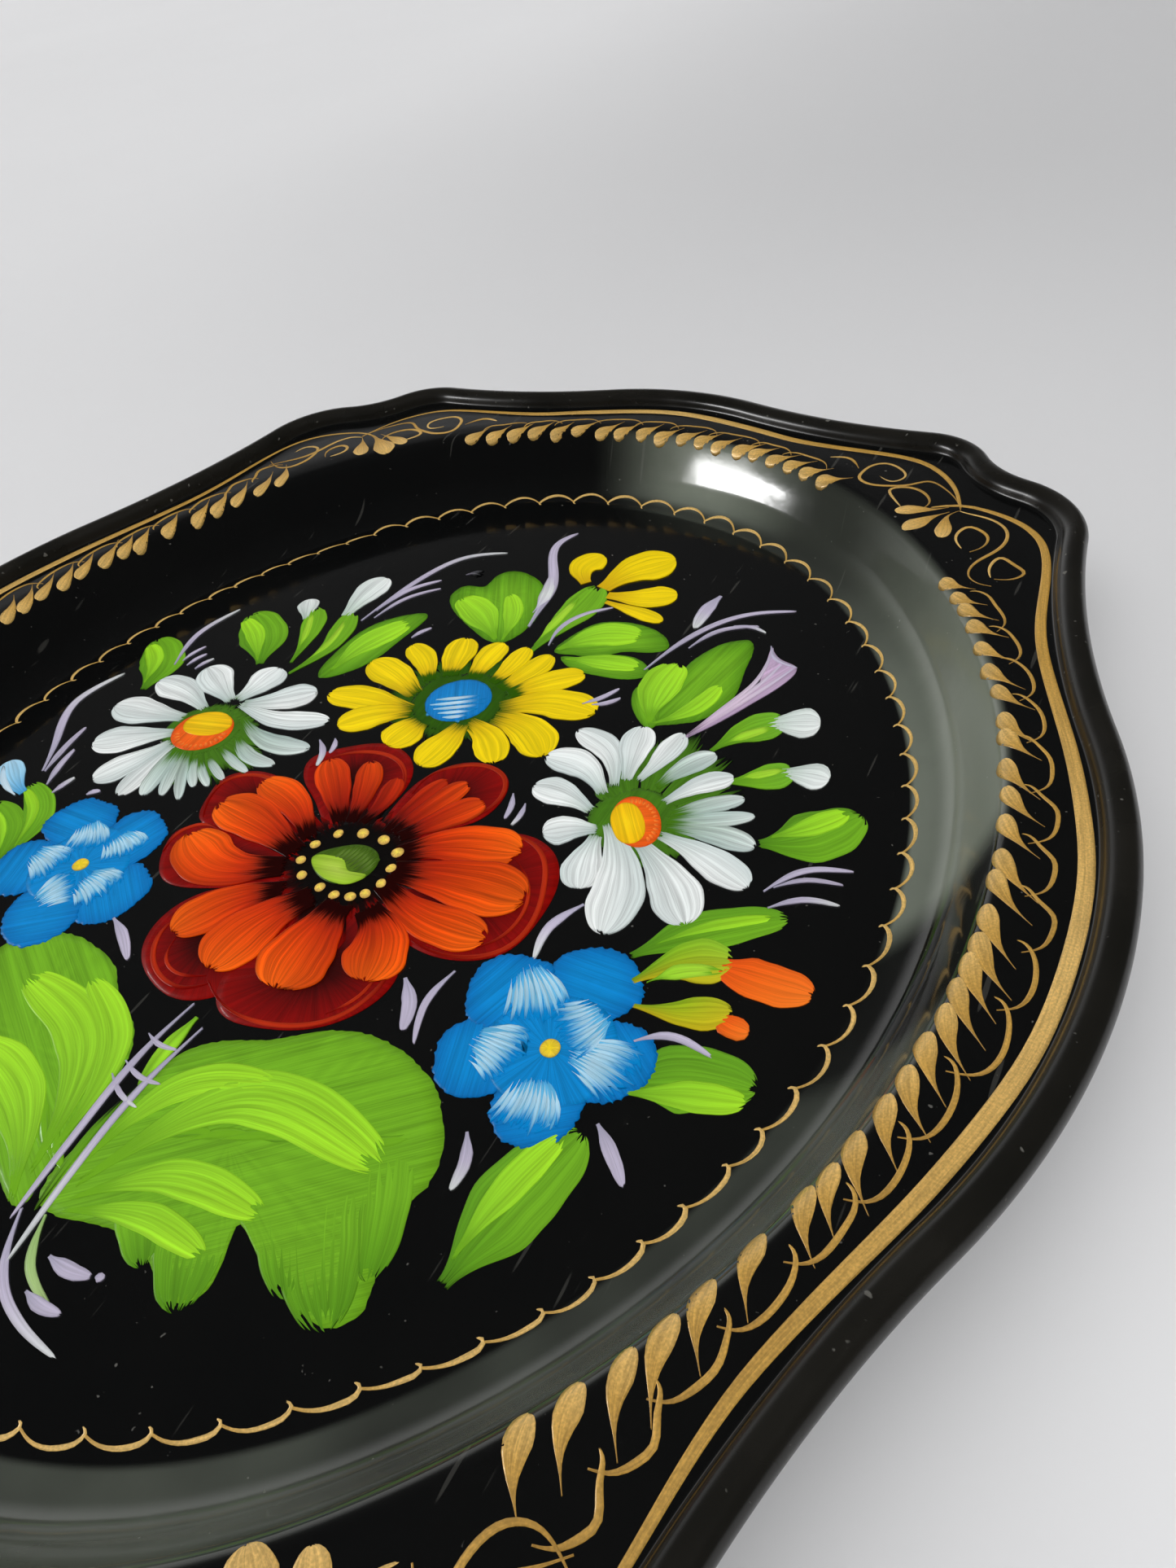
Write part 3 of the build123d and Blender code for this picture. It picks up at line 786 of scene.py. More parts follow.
def yellow_daisy():
    """Yellow daisy at the top of the bouquet: fourteen petals and a blue heart with pale strokes."""
    centre = (-1.5, 36.8)
    reaches = (17, 19, 18, 17, 18, 19, 23, 18, 16, 15, 16, 17)
    flower_shade("yellow_daisy_shade", centre, reaches, GREEN_SHADE, 13, 11, (1.3, 1.3, 0.5))
    petals = Film("yellow_daisy_petals", "yellow_paint", ["yellow_daisy"])
    strokes = [
        ((-13, 41), (-19.4, 47.8), (-26.9, 52.2), 6.8), ((-9.2, 44), (-12, 52), (-14.4, 59.2), 8.8),
        ((-2.8, 45.2), (-4, 53), (-3.5, 60.4), 7.4), ((2.3, 45), (3.6, 53), (3.5, 60.6), 6),
        ((5.5, 43.6), (8.9, 51), (11, 59.6), 7), ((8.7, 42.6), (15.2, 49.8), (23, 55.2), 7.8),
        ((9.3, 37.6), (21, 43.6), (32.2, 43.6), 10.2), ((9.6, 34.6), (20, 33.2), (28, 26.6), 10.2),
        ((5, 31), (13.2, 27.4), (18.8, 20.8), 8.2), ((4.2, 30), (4, 22), (2.9, 14.3), 9.4),
        ((-6, 27.6), (-7.2, 23), (-8.6, 17.4), 10), ((-10.2, 29.8), (-18, 25.6), (-25, 19.2), 9),
        ((-10.4, 30), (-23, 30.2), (-35.4, 28.5), 8.6), ((-13, 35.4), (-24, 40.4), (-32.8, 43), 9.4),
    ]
    for k, (root, bend, tip, width) in enumerate(strokes):
        top_root = root[1] > 40
        shape = FULL if k == 10 else (0.48, 0.66, 0.30, 0)
        petals.stroke([root, bend, tip], width, [YELLOW_DEEP, YELLOW, YELLOW], shape,
            (0.05 if top_root else 0.4, 0.72, 1.05, 1.3, 1.3), 5 + k % 2, 0.05, (0.05, 0.05), 0.12,
            ground=GREEN_SHADE)
    petals.finish()
    heart = Film("yellow_daisy_heart_disc", "blue_paint", ["yellow_daisy_heart"])
    heart.blob(ellipse((-1.5, 36.9), 8.3, 7.9, 20, 9, 0.03), (-1.5, 36.9), [(30, 140, 208), (16, 122, 196)],
        1.3, 7, 0.12, grain=-60, rough=0.02)
    slant_x, slant_y = 0.88, 0.47       # direction of the pale strokes
    for k, (lead, length) in enumerate(((1.8, 11.6), (-0.2, 14), (0, 12.4), (0.5, 9.6), (1, 6.6))):
        start = (-8.6 + 1.55 * k + slant_x * lead, 34.2 - 1.15 * k + slant_y * lead)
        end = (start[0] + slant_x * length, start[1] + slant_y * length)
        middle = ((start[0] + end[0]) / 2, (start[1] + end[1]) / 2 - 0.3)
        heart.stroke([start, middle, end], 1.1, [(150, 205, 234), (200, 228, 242), (80, 166, 218)],
            (0.3, 0.3, 0.70, 0), (0.72, 0.80, 0.2), 12, 0.05, (0.02, 0.2), ground=(24, 132, 202))
    for k in range(1, 6):
        x = -7.8 + 2.1 * k
        heart.stroke([(x, 31.4 - 0.5 * (k % 2)), (x - 0.1, 29 + 0.4 * (k % 3))], 1, [(60, 150, 205)], HATCH,
            (1.1, 0.5), 7, 0.04, ground=GREEN_SHADE)
    heart.finish()


def white_daisy(side, centre, strokes, reaches, greys):
    """Daisy of white strokes over green; greys lists the petals that stay thin and greenish."""
    flower_shade(f"white_daisy_{side}_shade", centre, reaches, MOSS, 10, 9.5, (1.3, 1.3, 0.6))
    petals = Film(f"white_daisy_{side}_petals", "white_paint", [f"white_daisy_{side}"])
    for k, (root, bend, tip, width) in enumerate(strokes):
        tones, cover = [(196, 210, 204), WHITE, WHITE], (0.55, 1.05, 1.3, 1.3)
        if k in greys:
            tones, cover = [(150, 178, 150), (190, 208, 198), (222, 232, 228)], (0.25, 0.7, 1.1, 1.2)
        petals.stroke([root, bend, tip], width, tones, PETAL if width > 5 else FULL, cover, 5 + k % 2,
            ragged=(0.06, 0.04), streak=0.10, ground=MOSS, edge=((158, 184, 182), 0.42 if k % 2 else -0.36))
    petals.finish()


def daisy_heart(side, centre, half_x, half_y, turn, split):
    """Orange disc with a yellow part on the side where split points."""
    heart = Film(f"white_daisy_{side}_disc", "heart_yellow", [f"white_daisy_heart_{side}"])
    heart.blob(ellipse(centre, half_x, half_y, turn, 10, 0.02), centre, [(250, 112, 30), (240, 92, 20)],
        1.3, 7, 0.10, grain=turn + 80, streak=0.10)
    c, s = math.cos(math.radians(turn)), math.sin(math.radians(turn))
    middle = (centre[0] - s * split, centre[1] + c * split)
    heart.blob(ellipse(middle, half_x * 0.82, half_y - abs(split) * 0.98, turn, 10, 0.03), middle,
               [(246, 206, 20), (240, 188, 12)], 1.3, 10, 0.06, grain=turn, streak=0.06)
    for k in range(14):
        angle = math.radians(200 + 12 * k) if split > 0 else math.radians(20 + 12 * k)
        x, y = math.cos(angle) * half_x * 0.93, math.sin(angle) * half_y * 0.93
        outer = (centre[0] + c * x - s * y, centre[1] + s * x + c * y)
        inner = (centre[0] + 0.72 * (outer[0] - centre[0]), centre[1] + 0.72 * (outer[1] - centre[1]))
        heart.stroke([inner, outer], 0.8, [(255, 150, 60), (230, 84, 20)], HATCH, 1.1, 9, 0.05,
            ground=(240, 92, 20))
    heart.finish()


def white_daisies():
    """Both white daisies; each petal is (root, bend, tip, width), clockwise on the left one."""
    left = [
        ((-57.4, 18.6), (-55.9, 25), (-55.1, 32.9), 10), ((-54.4, 17.8), (-46.4, 22.4), (-38.6, 28.2), 9.4),
        ((-56, 17.6), (-41.5, 16.2), (-28.2, 20.2), 6.8), ((-51, 13.6), (-38.5, 8.8), (-26.1, 10.2), 6),
        ((-47, 7.4), (-38.6, 2.9), (-30.6, 2.7), 3.9), ((-48, 2.8), (-41.5, 0.2), (-35.1, -1.7), 2.4),
        ((-48.4, -0.8), (-43.6, -3.6), (-38.9, -5.7), 2.2), ((-49.5, -2.6), (-45.4, -6), (-41, -8.7), 2.3),
        ((-52, -1.6), (-48.4, -6.4), (-44.2, -10.2), 2.5), ((-54.4, -1), (-50.2, -8), (-44.6, -14.8), 2.8),
        ((-56.4, -0.8), (-53.4, -8.4), (-49.6, -15.3), 3.3), ((-58.6, -0.6), (-56.8, -9), (-54.2, -17), 4.8),
        ((-60.6, -0.4), (-60.6, -10), (-60.2, -19.1), 6.2), ((-62, 0.2), (-66, -8.6), (-71, -17.4), 8.8),
        ((-63.8, 3.2), (-74, -2.6), (-82.2, -7.6), 10), ((-65.6, 8.4), (-78, 6.6), (-88.2, 5.6), 10),
        ((-63, 12.8), (-74, 16.8), (-84.4, 17.4), 9), ((-58.4, 17.6), (-66.8, 22), (-75.2, 26.5), 9.8),
    ]
    reach_left = (21, 17, 11, 11, 11, 9, 9, 10, 14, 18, 21, 23)
    white_daisy("left", (-57.2, 6), left, reach_left, (3, 4, 5, 6, 7, 8, 9, 10, 11))
    daisy_heart("left", (-57.2, 6), 8, 7.1, 12, 2.6)
    right = [
        ((51.4, 26.8), (53.2, 35), (54, 43.8), 5.8), ((49.2, 25.8), (46.8, 34), (44.6, 43), 7.8),
        ((47.6, 23.4), (41.2, 33.2), (31.2, 36.8), 6.8), ((46.6, 20.4), (38.4, 26.8), (28.8, 26.8), 8.2),
        ((46.6, 15.4), (38.4, 17.8), (31.1, 17.6), 7.8), ((50.4, 11.3), (45.4, 9.6), (40.1, 6.3), 8),
        ((50.8, 10), (52, 3), (54.6, -4), 9), ((51.6, 13.8), (59, 4.4), (64, -12.1), 10.8),
        ((59.6, 11.2), (67.4, 6.2), (77.2, -4.4), 10.2), ((62.4, 14.4), (73, 12.4), (84.2, 8), 7.8),
        ((62.6, 16.4), (72, 18.4), (81.5, 18), 5.8), ((62, 18.4), (70, 21.6), (78.2, 25.9), 4),
        ((62.4, 20.4), (68, 25), (74.4, 29.8), 4.4), ((59.4, 22.8), (63.4, 29.2), (69.9, 34.8), 5.8),
        ((56, 26.2), (58.8, 33.6), (63.6, 40), 5.8),
    ]
    reach_right = (15, 19, 25, 27, 22, 14, 12, 11, 10, 10, 12, 13)
    white_daisy("right", (56.5, 16), right, reach_right, (10, 11, 12, 14))
    daisy_heart("right", (56.6, 16), 7.4, 5, -52, -1.7)


def poppy():
    """Red poppy: dark glazed lobes, bright rims, deep middle, loaded petals, seed pod and stamens."""
    glaze = Film("poppy_glaze", "poppy_red", ["poppy"])
    lobes = [

        ([(-6, -13), (-14, -4.5), (-25, -0.4), (-34, -0.8), (-39.4, -5.5), (-38.6, -11), (-35, -17.6),
                (-28, -18.6), (-15, -17)], (-24, -9)),

        ([(-5, -18), (-18, -18.2), (-32, -18.6), (-36.9, -21.8), (-35.2, -29), (-29, -34.6), (-18, -32.6),
                (-8, -28.5), (-1, -24)], (-22, -25)),

        ([(0, -25), (-10, -28.5), (-18, -34), (-21.5, -42), (-19.2, -50), (-11, -55.2), (-3, -56), (3, -53),
                (7, -40)], (-7, -42)),

        ([(2, -50), (6, -54.6), (16, -54.6), (26, -50.4), (32, -43.6), (33.5, -36), (30, -29.6),
                (22, -24.4), (10, -24), (4, -36)], (17, -39)),

        ([(12, -16), (19, -6), (29, 1.6), (38, 4.6), (45.4, 2.2), (49.9, -4), (51.2, -14), (49.4, -22.4),
                (42, -27.6), (30, -28), (20, -24), (14, -20)], (32, -12)),

        ([(8.4, -7), (5.4, 2), (6.4, 11), (11, 17.6), (18, 20.1), (24.6, 17.6), (27, 11), (25, 4), (19, -2),
                (13, -8)], (15, 6)),

        ([(-3, -9), (-13, -3.5), (-21.5, 2.6), (-23.4, 7), (-18, 13.4), (-9, 17.8), (-3, 17), (2.4, 12.8),
                (4.6, 5), (3.4, -2), (1, -8)], (-8, 5)),
    ]
    for k, (outline, middle) in enumerate(lobes):
        glaze.blob(outline, middle, [(22, 2, 2), (62, 2, 2), (118, 3, 2), (146, 6, 2)], (1, 1.2, 1.3),
            3 + (k % 2) * 0.7, 0.03)
    glaze.finish()

    rims = Film("poppy_rims", "poppy_red")
    arcs = [
        ([(-21.5, 5), (-18.3, 10), (-12, 13.8), (-5.6, 14.6), (0.4, 12), (3.6, 7), (4.2, 0)], 1.5),
        ([(7, 6), (7.4, 12.6), (12, 17.4), (18, 19.4), (23.6, 17.6), (26.2, 12), (24.8, 6.4), (20, 1)],
            1.5),

        ([(21, -2), (29, 2), (37, 3.6), (43.4, 0.8), (47.6, -5.5), (50.2, -14), (49, -21.5), (43, -26.4),
                (33, -27.4), (24, -25)], 1.5),
        ([(38, -1.5), (44, -6), (47.4, -13), (46.2, -20.6), (41.6, -25.2)], 1.1),
        ([(-8, -11), (-16, -4.4), (-25, -1.8), (-33, -1.8), (-38, -5.6), (-37.8, -11.6), (-34.2, -17.4)],
            1.5),
        ([(-27, -18.6), (-33.4, -19), (-36.3, -22.6), (-35.4, -28.6)], 1.3),
        ([(-16, -38), (-18.7, -43.6), (-16.9, -49), (-11.7, -53), (-4, -53.6), (0.4, -50.6)], 1.5),
        ([(-14.6, -45), (-13, -49.4), (-7.6, -51.6), (-1.6, -49.6)], 1),
        ([(-0.6, -50.4), (4.6, -53), (12, -54), (20, -52.4), (27, -48.4), (31, -41.6), (31, -33.8),
                (27, -28)], 1.5),
        ([(26, -47.2), (29.4, -41.4), (29.4, -35)], 1),
    ]
    for route, width in arcs:
        rims.stroke(route, width * 0.72, [(130, 16, 4), (188, 46, 10), (180, 42, 9), (130, 16, 4)], LINER,
            (0.3, 0.75, 0.7, 0.3), 6, 0.04, ground=(120, 8, 4))
    rims.finish()

    dark = Film("poppy_depth", "poppy_red")
    count = 44
    for k in range(count):
        angle = 2 * math.pi * (k + 0.5 * RANDOM.random()) / count
        reach = 14 + 12 * RANDOM.random() ** 2
        ray = np.array([math.cos(angle), math.sin(angle)])
        route = [np.add(POPPY_MIDDLE, ray * 5), np.add(POPPY_MIDDLE, ray * reach)]
        dark.stroke(route, 3.6, [(10, 5, 5), (24, 3, 2), (46, 3, 2)], COMMA, (1.3, 1.2, 0.7, 0.1), 6, 0.03,
            (0, 0.35), ground=(110, 8, 4))
    dark.blob(ellipse(POPPY_MIDDLE, 13, 11.5, 0, 10, 0.08), POPPY_MIDDLE, [(10, 10, 9), (10, 6, 6)],
        (1.3, 1.3, 0.9), 6, 0.03)
    dark.finish()

    loads = Film("poppy_strokes", "poppy_red")
    strokes = [
        ((-2.6, -7), (-10.2, 0.5), (-18.8, 8.8), 8.2, 1), ((-0.8, -6.5), (-3.8, 3), (-8.8, 11.6), 6.4, 1),
        ((1.6, -5.5), (2.4, 1.5), (0.8, 9.2), 5, 2), ((8.4, -6), (9.4, 3), (12, 12.6), 4.6, 2),
        ((10.2, -5.8), (13.2, 3.4), (17.2, 13.4), 6, 1), ((12, -6), (17.8, 1.6), (24, 9.6), 7, 1),
        ((14, -10.6), (24, -3.4), (39, 0), 11.2, 0), ((16, -17.6), (29, -21.6), (44.4, -21.4), 9.8, 0),
        ((15.6, -14.6), (29, -11.6), (46.4, -10.6), 13.4, 0),
        ((17.4, -23.8), (24.4, -29), (28.4, -38.6), 13, 0),
        ((-5.6, -21.2), (-19.4, -26.8), (-34, -22.4), 13, 0),
        ((-1.4, -26.4), (-10.6, -33.8), (-16.2, -44.6), 10.6, 0),
        ((5.4, -25.4), (-1, -36.4), (-2.4, -48.4), 13.4, 0),
        ((11.6, -24.6), (12, -35), (13.6, -46.6), 15.6, 0), ((-6, -13.6), (-16.6, -6), (-29.4, -3), 8.4, 0),
        ((-6, -17.6), (-19.6, -13.8), (-34, -12), 11.6, 0),
    ]
    lights = (
        [(110, 14, 1), (208, 52, 2), (244, 84, 3), (252, 106, 12)],
        [(84, 8, 1), (166, 32, 2), (216, 62, 4), (232, 78, 8)],
        [(60, 5, 1), (130, 16, 2), (178, 38, 3), (192, 48, 5)],
    )
    for k, (root, bend, tip, width, dim) in enumerate(strokes):
        loads.stroke([root, bend, tip], width, lights[dim], (0.42, 0.74, 0.26, 0),
            (0.05, 0.62, 0.95, 1.15, 1.25), 7 + 0.4 * k, 0.06, (0.05, 0.06), streak=0.26, ground=(34, 4, 3),
            edge=((168, 24, 3), 0.5 if k % 3 else -0.46))
    loads.finish()

    pod = Film("poppy_seed_pod", "pod_green", ["poppy_pod"])
    pod.blob([(-1.9, -17.4), (2, -12.6), (6.5, -10.5), (11.4, -11.8), (12.7, -15.2), (11, -19.4),
            (6.5, -21.5), (1.6, -20.6)], (5.6, -16.4), [(84, 116, 26), (66, 98, 20)], 1.3, 9, 0.16,
        grain=75)
    for k in range(9):
        x = 3.2 + 1.05 * k
        top = -10.9 - 0.07 * (x - 7) ** 2
        pod.stroke([(x - 1.2, top - 6.2), (x + 0.1, top - 2.6), (x + 0.5, top)], 0.7,
            [(28, 44, 12), (120, 156, 60)], HATCH, (0.9, 0.8, 0.3), 13, 0.05, ground=(66, 94, 24))
    pod.blob([(-1.9, -17.2), (2, -15.4), (5.4, -15.6), (8.2, -17.6), (12.2, -17.2), (10.8, -19.8),
            (6.5, -21.3), (1.6, -20.4)], (5.4, -18.3), [(188, 216, 84), (150, 190, 44)], 1.3, 12, 0.10,
        grain=10)
    pod.finish()
    dots = Film("poppy_stamens", "heart_yellow")
    places = [
        (-1.1, -9.8), (4.1, -7.8), (9.6, -7.7), (14.6, -9.6), (15.9, -13.7), (16.5, -17.8), (15, -21.2),
        (12.6, -23), (9.1, -23.9), (5, -23.4), (-0.9, -22.2), (-3.9, -18.9), (-3.9, -14.2),
    ]
    for k, (x, y) in enumerate(places):
        size = 1.25 if k in (1, 2, 3) else 1.05
        dots.blob(ellipse((x, y), size, size * 1.12, 40 * k, 7, 0.06), (x, y),
            [(250, 226, 90), (222, 176, 92)], 1.3, 9, 0.22, rings=5)
        if k > 3 or k == 0:
            dots.stroke([(x - 0.5, y + 0.5), (x + 0.1, y), (x + 0.4, y - 0.5)], 0.5, [(120, 60, 20)], HATCH,
                0.9, 14, 0.03, ground=(222, 176, 92))
    dots.finish()


LOBE_GROWTH, LOBE_PULL = 1.09, 0.06     # the lobes run into each other around the middle


def blue_flower(side, lobes, dot, hatches):
    """Blue flower of five lobes, with a fan of pale strokes on each and a yellow dot in its middle.

    lobes are (x, y, half_x, half_y); hatches are (x, y, length, spread, turn, count, strength).
    """
    petals = Film(f"blue_flower_{side}_petals", "blue_paint", [f"blue_flower_{side}"])
    for k, (x, y, half_x, half_y) in enumerate(lobes):
        place = np.add((x, y), np.subtract(dot, (x, y)) * LOBE_PULL)
        lobe = ellipse(place, half_x * LOBE_GROWTH, half_y * LOBE_GROWTH, 30 * k, 12, 0.06)
        petals.blob(lobe, (x, y), [BLUE, BLUE, BLUE_DEEP], 1.3, 4 + 0.4 * (k % 2), 0.03, rough=0.07,
            grain=72 * k, streak=0.04)
    petals.blob(ellipse(dot, 11.5, 11, 0, 10, 0.05), dot, [BLUE, BLUE], (1.3, 1.3, 1.1), 4.8, 0.03)
    petals.finish()
    marks = Film(f"blue_flower_{side}_hatching", "blue_paint", [f"blue_flower_heart_{side}"])
    for x, y, length, spread, turn, count, strength in hatches:
        along = np.array([math.cos(math.radians(turn)), math.sin(math.radians(turn))])
        stack = np.array([-along[1], along[0]])
        here = np.array([x, y])
        under = [here - along * length * 0.5, here + stack * 0.6, here + along * length * 0.52]
        marks.stroke(under, spread * 0.95, [(86, 176, 224), (128, 198, 232)], (0.45, 0.5, 0.45, 0.3),
            (0.55, 0.85, 0.62, 0.1), 7, 0.03, (0.12, 0.30), 0.12, ground=BLUE)
        hairs = 2 * count + 2
        for k in range(hairs):
            u = 2 * k / (hairs - 1) - 1
            middle = here + stack * u * spread * 0.46 + along * jitter(0.6)
            size = length * (1 - 0.3 * u * u) * (0.75 + 0.4 * RANDOM.random())
            lean = along + stack * 0.34 * u
            route = [middle - lean * size * 0.5, middle + stack * 0.45, middle + lean * size * 0.5]
            marks.stroke(route, 0.8, [(196, 228, 244), PALE_BLUE, (120, 196, 234)], SPEAR,
                (strength * 0.8, strength * 0.75, 0.3), 8.2, 0.03, (0.02, 0.1), ground=BLUE)
    marks.blob(ellipse(dot, 1.75, 1.75, 0, 8, 0.05), dot, [(244, 214, 30), (232, 198, 60)], 1.3, 10, 0.2,
        rings=5)
    marks.finish()


def blue_flowers():
    """The blue flowers low on the left and on the right of the bouquet."""
    blue_flower("left", [(-62, -28.7, 8.9, 7.3), (-45.3, -27.8, 7.4, 8.1), (-37, -42.3, 8.5, 7.5),
            (-47.5, -52.2, 8.4, 8.2), (-63.2, -44.4, 7.7, 8.4)], (-50.5, -38.6),
        [(-56.2, -31.6, 9, 8.96, -52, 5, 1), (-46, -30.6, 7.2, 9.632, -30, 5, 1.2),
            (-42.4, -41.8, 8.4, 10.528, -14, 5, 1.2), (-49.4, -46.4, 8.4, 8.96, 62, 5, 1.05),
            (-59.4, -40.8, 9.6, 9.408, -12, 5, 1)])
    blue_flower("right", [(68.2, -21.4, 8.4, 7.6), (54.2, -29.4, 8, 8), (78, -35, 7.6, 7.2),
            (71, -46.2, 9.2, 7.2), (56.4, -43.4, 7.4, 7.8)], (67.5, -37.1),
        [(59, -28.6, 12, 10.08, -50, 4, 1.25), (70, -30.6, 9, 10.752, -128, 5, 0.9),
            (77.2, -36.4, 12, 9.632, -4, 5, 1), (59, -41, 9.12, 10.528, -6, 5, 1.05),
            (69.4, -47.6, 9.6, 10.528, -78, 5, 1.05)])


def tufted_bud(film, route, width, tones, layer=6, ground=LEAF_DARK, edge=None):
    """One petal of a bud as a single full brush load."""
    film.stroke(route, width, tones, PETAL, (0.8, 1.2, 1.3, 1.3), layer, streak=0.06, ground=ground,
        edge=edge)


def buds():
    """Yellow, white, orange and pale blue buds with their green calyxes."""
    yellow = Film("yellow_bud_petals", "yellow_paint", ["yellow_bud"])
    for k, (root, bend, tip, width) in enumerate([
        ((13, 84), (22, 82.4), (31, 80.4), 4.6), ((12, 86.8), (21, 88.4), (29.6, 92.2), 9.2),
        ((3.6, 90.4), (-0.6, 96.2), (2, 103.6), 9.8), ((9.4, 89.2), (12.6, 98.2), (21.8, 107.4), 14.4),
    ]):
        tufted_bud(yellow, [root, bend, tip], width, [YELLOW_DEEP, YELLOW, YELLOW], 6 + 0.7 * k)
    yellow.finish()

    white = Film("white_bud_petals", "white_paint", ["white_buds"])
    for route, width in [
        ([(70, 52.4), (75.2, 54.8), (80.5, 56.6)], 9.8), ([(78.4, 39.5), (83.2, 40.4), (88.2, 40.6)], 7.8),
        ([(-53, 57.6), (-54, 67), (-53, 76.6)], 9.6), ([(-63.4, 53), (-66.4, 57.4), (-68.7, 61)], 6.2),
    ]:
        tufted_bud(white, route, width, [(186, 206, 190), (226, 234, 230), WHITE], edge=(WHITE_SHADE, 0.25))
    white.finish()

    orange = Film("orange_bud_petals", "orange_paint", ["orange_buds"])
    for route, width in [
        ([(86.6, -10.6), (95, -10.6), (103.7, -9.8)], 8.2),
        ([(90.8, -20.6), (93.8, -21.2), (96.7, -21)], 4.4),
    ]:
        orange.stroke(route, width, [(232, 84, 16), (248, 112, 26), (252, 128, 38)],
            (0.5, 0.35, 0.34, 0.05), (0.8, 1.2, 1.3), 6, 0.05, (0.04, 0.06), 0.14, ground=LEAF_DARK,
            edge=((226, 70, 16), 0.4))
    orange.finish()

    pale = Film("pale_blue_bud", "blue_paint", ["blue_bud"])
    tufted_bud(pale, [(-84.6, -27), (-91.5, -24.6), (-98.2, -20.4)], 7.2,
               [(70, 160, 216), (150, 206, 236), (174, 216, 240)], ground=BLACK)
    pale.stroke([(-86, -28.4), (-92, -26.6), (-98, -22.2)], 1.6, [(214, 234, 246), (190, 222, 242)], LINER,
        (0.7, 1, 0.5), 8)
    pale.finish()

    green = Film("calyxes_and_stems", "leaf_green")
    golden = ((222, 180, 16), -0.62)
    for route, width, tones, edge in [
        ([(5, 58.8), (6.2, 68), (7.8, 80), (7.6, 90)], 10.6, LEAF_TONES, None),
        ([(62, 40.6), (66, 48), (73.2, 55)], 9, [LEAF_DARK, LEAF, (116, 180, 46)], None),
        ([(68.2, 32.6), (74, 35.6), (80.6, 40.8)], 7.8, [LEAF_DARK, LEAF, (116, 180, 46)], None),
        ([(-51.4, 31.6), (-48.4, 45), (-52.6, 59.6)], 7, LEAF_TONES, None),
        ([(-54, 35.6), (-57.4, 47), (-63.8, 58.4)], 6.8, LEAF_TONES, None),
        ([(74, -19.4), (79.8, -12.8), (88.6, -8.8)], 10, [(96, 146, 26), (134, 188, 36), (150, 200, 50)],
            golden),
        ([(76.4, -23.8), (84, -22.2), (92.6, -18.4)], 6.8, [(120, 150, 24), (150, 186, 30), (190, 190, 36)],
            golden),
    ]:
        green.stroke(route, width, tones, (0.12, 0.75, 0.3, 0.1), (0.7, 1.1, 1.3, 1.2), 5, 0.08, (0.02, 0.08),
                     0.10, edge=edge)
    for route, width in [
        ([(4.4, 62), (4.8, 72), (5.2, 84)], 2.6), ([(63.6, 43.4), (67.8, 48.4), (71.8, 52.2)], 2.6),
        ([(70.4, 34.4), (75, 37.6), (79.4, 40.8)], 2.2), ([(-50.6, 36), (-49.4, 46), (-52, 57)], 2),
        ([(-55.6, 40), (-59.4, 49), (-64.4, 57)], 2), ([(76.4, -18.6), (81.6, -13.8), (87.8, -11.4)], 3.2),
    ]:
        green.stroke(route, width, [LIGHT, (170, 214, 60)], SPEAR, (0.2, 0.8, 0.9, 0.2), 7, 0.06,
            (0.05, 0.2), ground=LEAF)
    green.finish()


def leaf_body(film, outline, centre, grain, edge=LEAF_DARK, layer=1.5):
    """Flat green leaf inside an outline, its brush marks running at grain degrees."""
    film.blob(outline, centre, [LEAF, LEAF, edge], (1.3, 1.3, 1.15), layer, 0.06, grain=grain, streak=0.07,
              rough=0.015)


def leaf_lights(film, strokes, cover=(0.15, 0.85, 1.2, 1.25)):
    """Lime brush loads over a leaf, as (route, width) from its stalk to its tip."""
    for route, width in strokes:
        film.stroke(route, width, [LEAF, LIGHT, LIME], (0.12, 0.60, 0.34, 0.16), cover, 4, 0.06,
            (0.06, 0.07), 0.14, ground=LEAF, edge=(LEAF, 0.35))


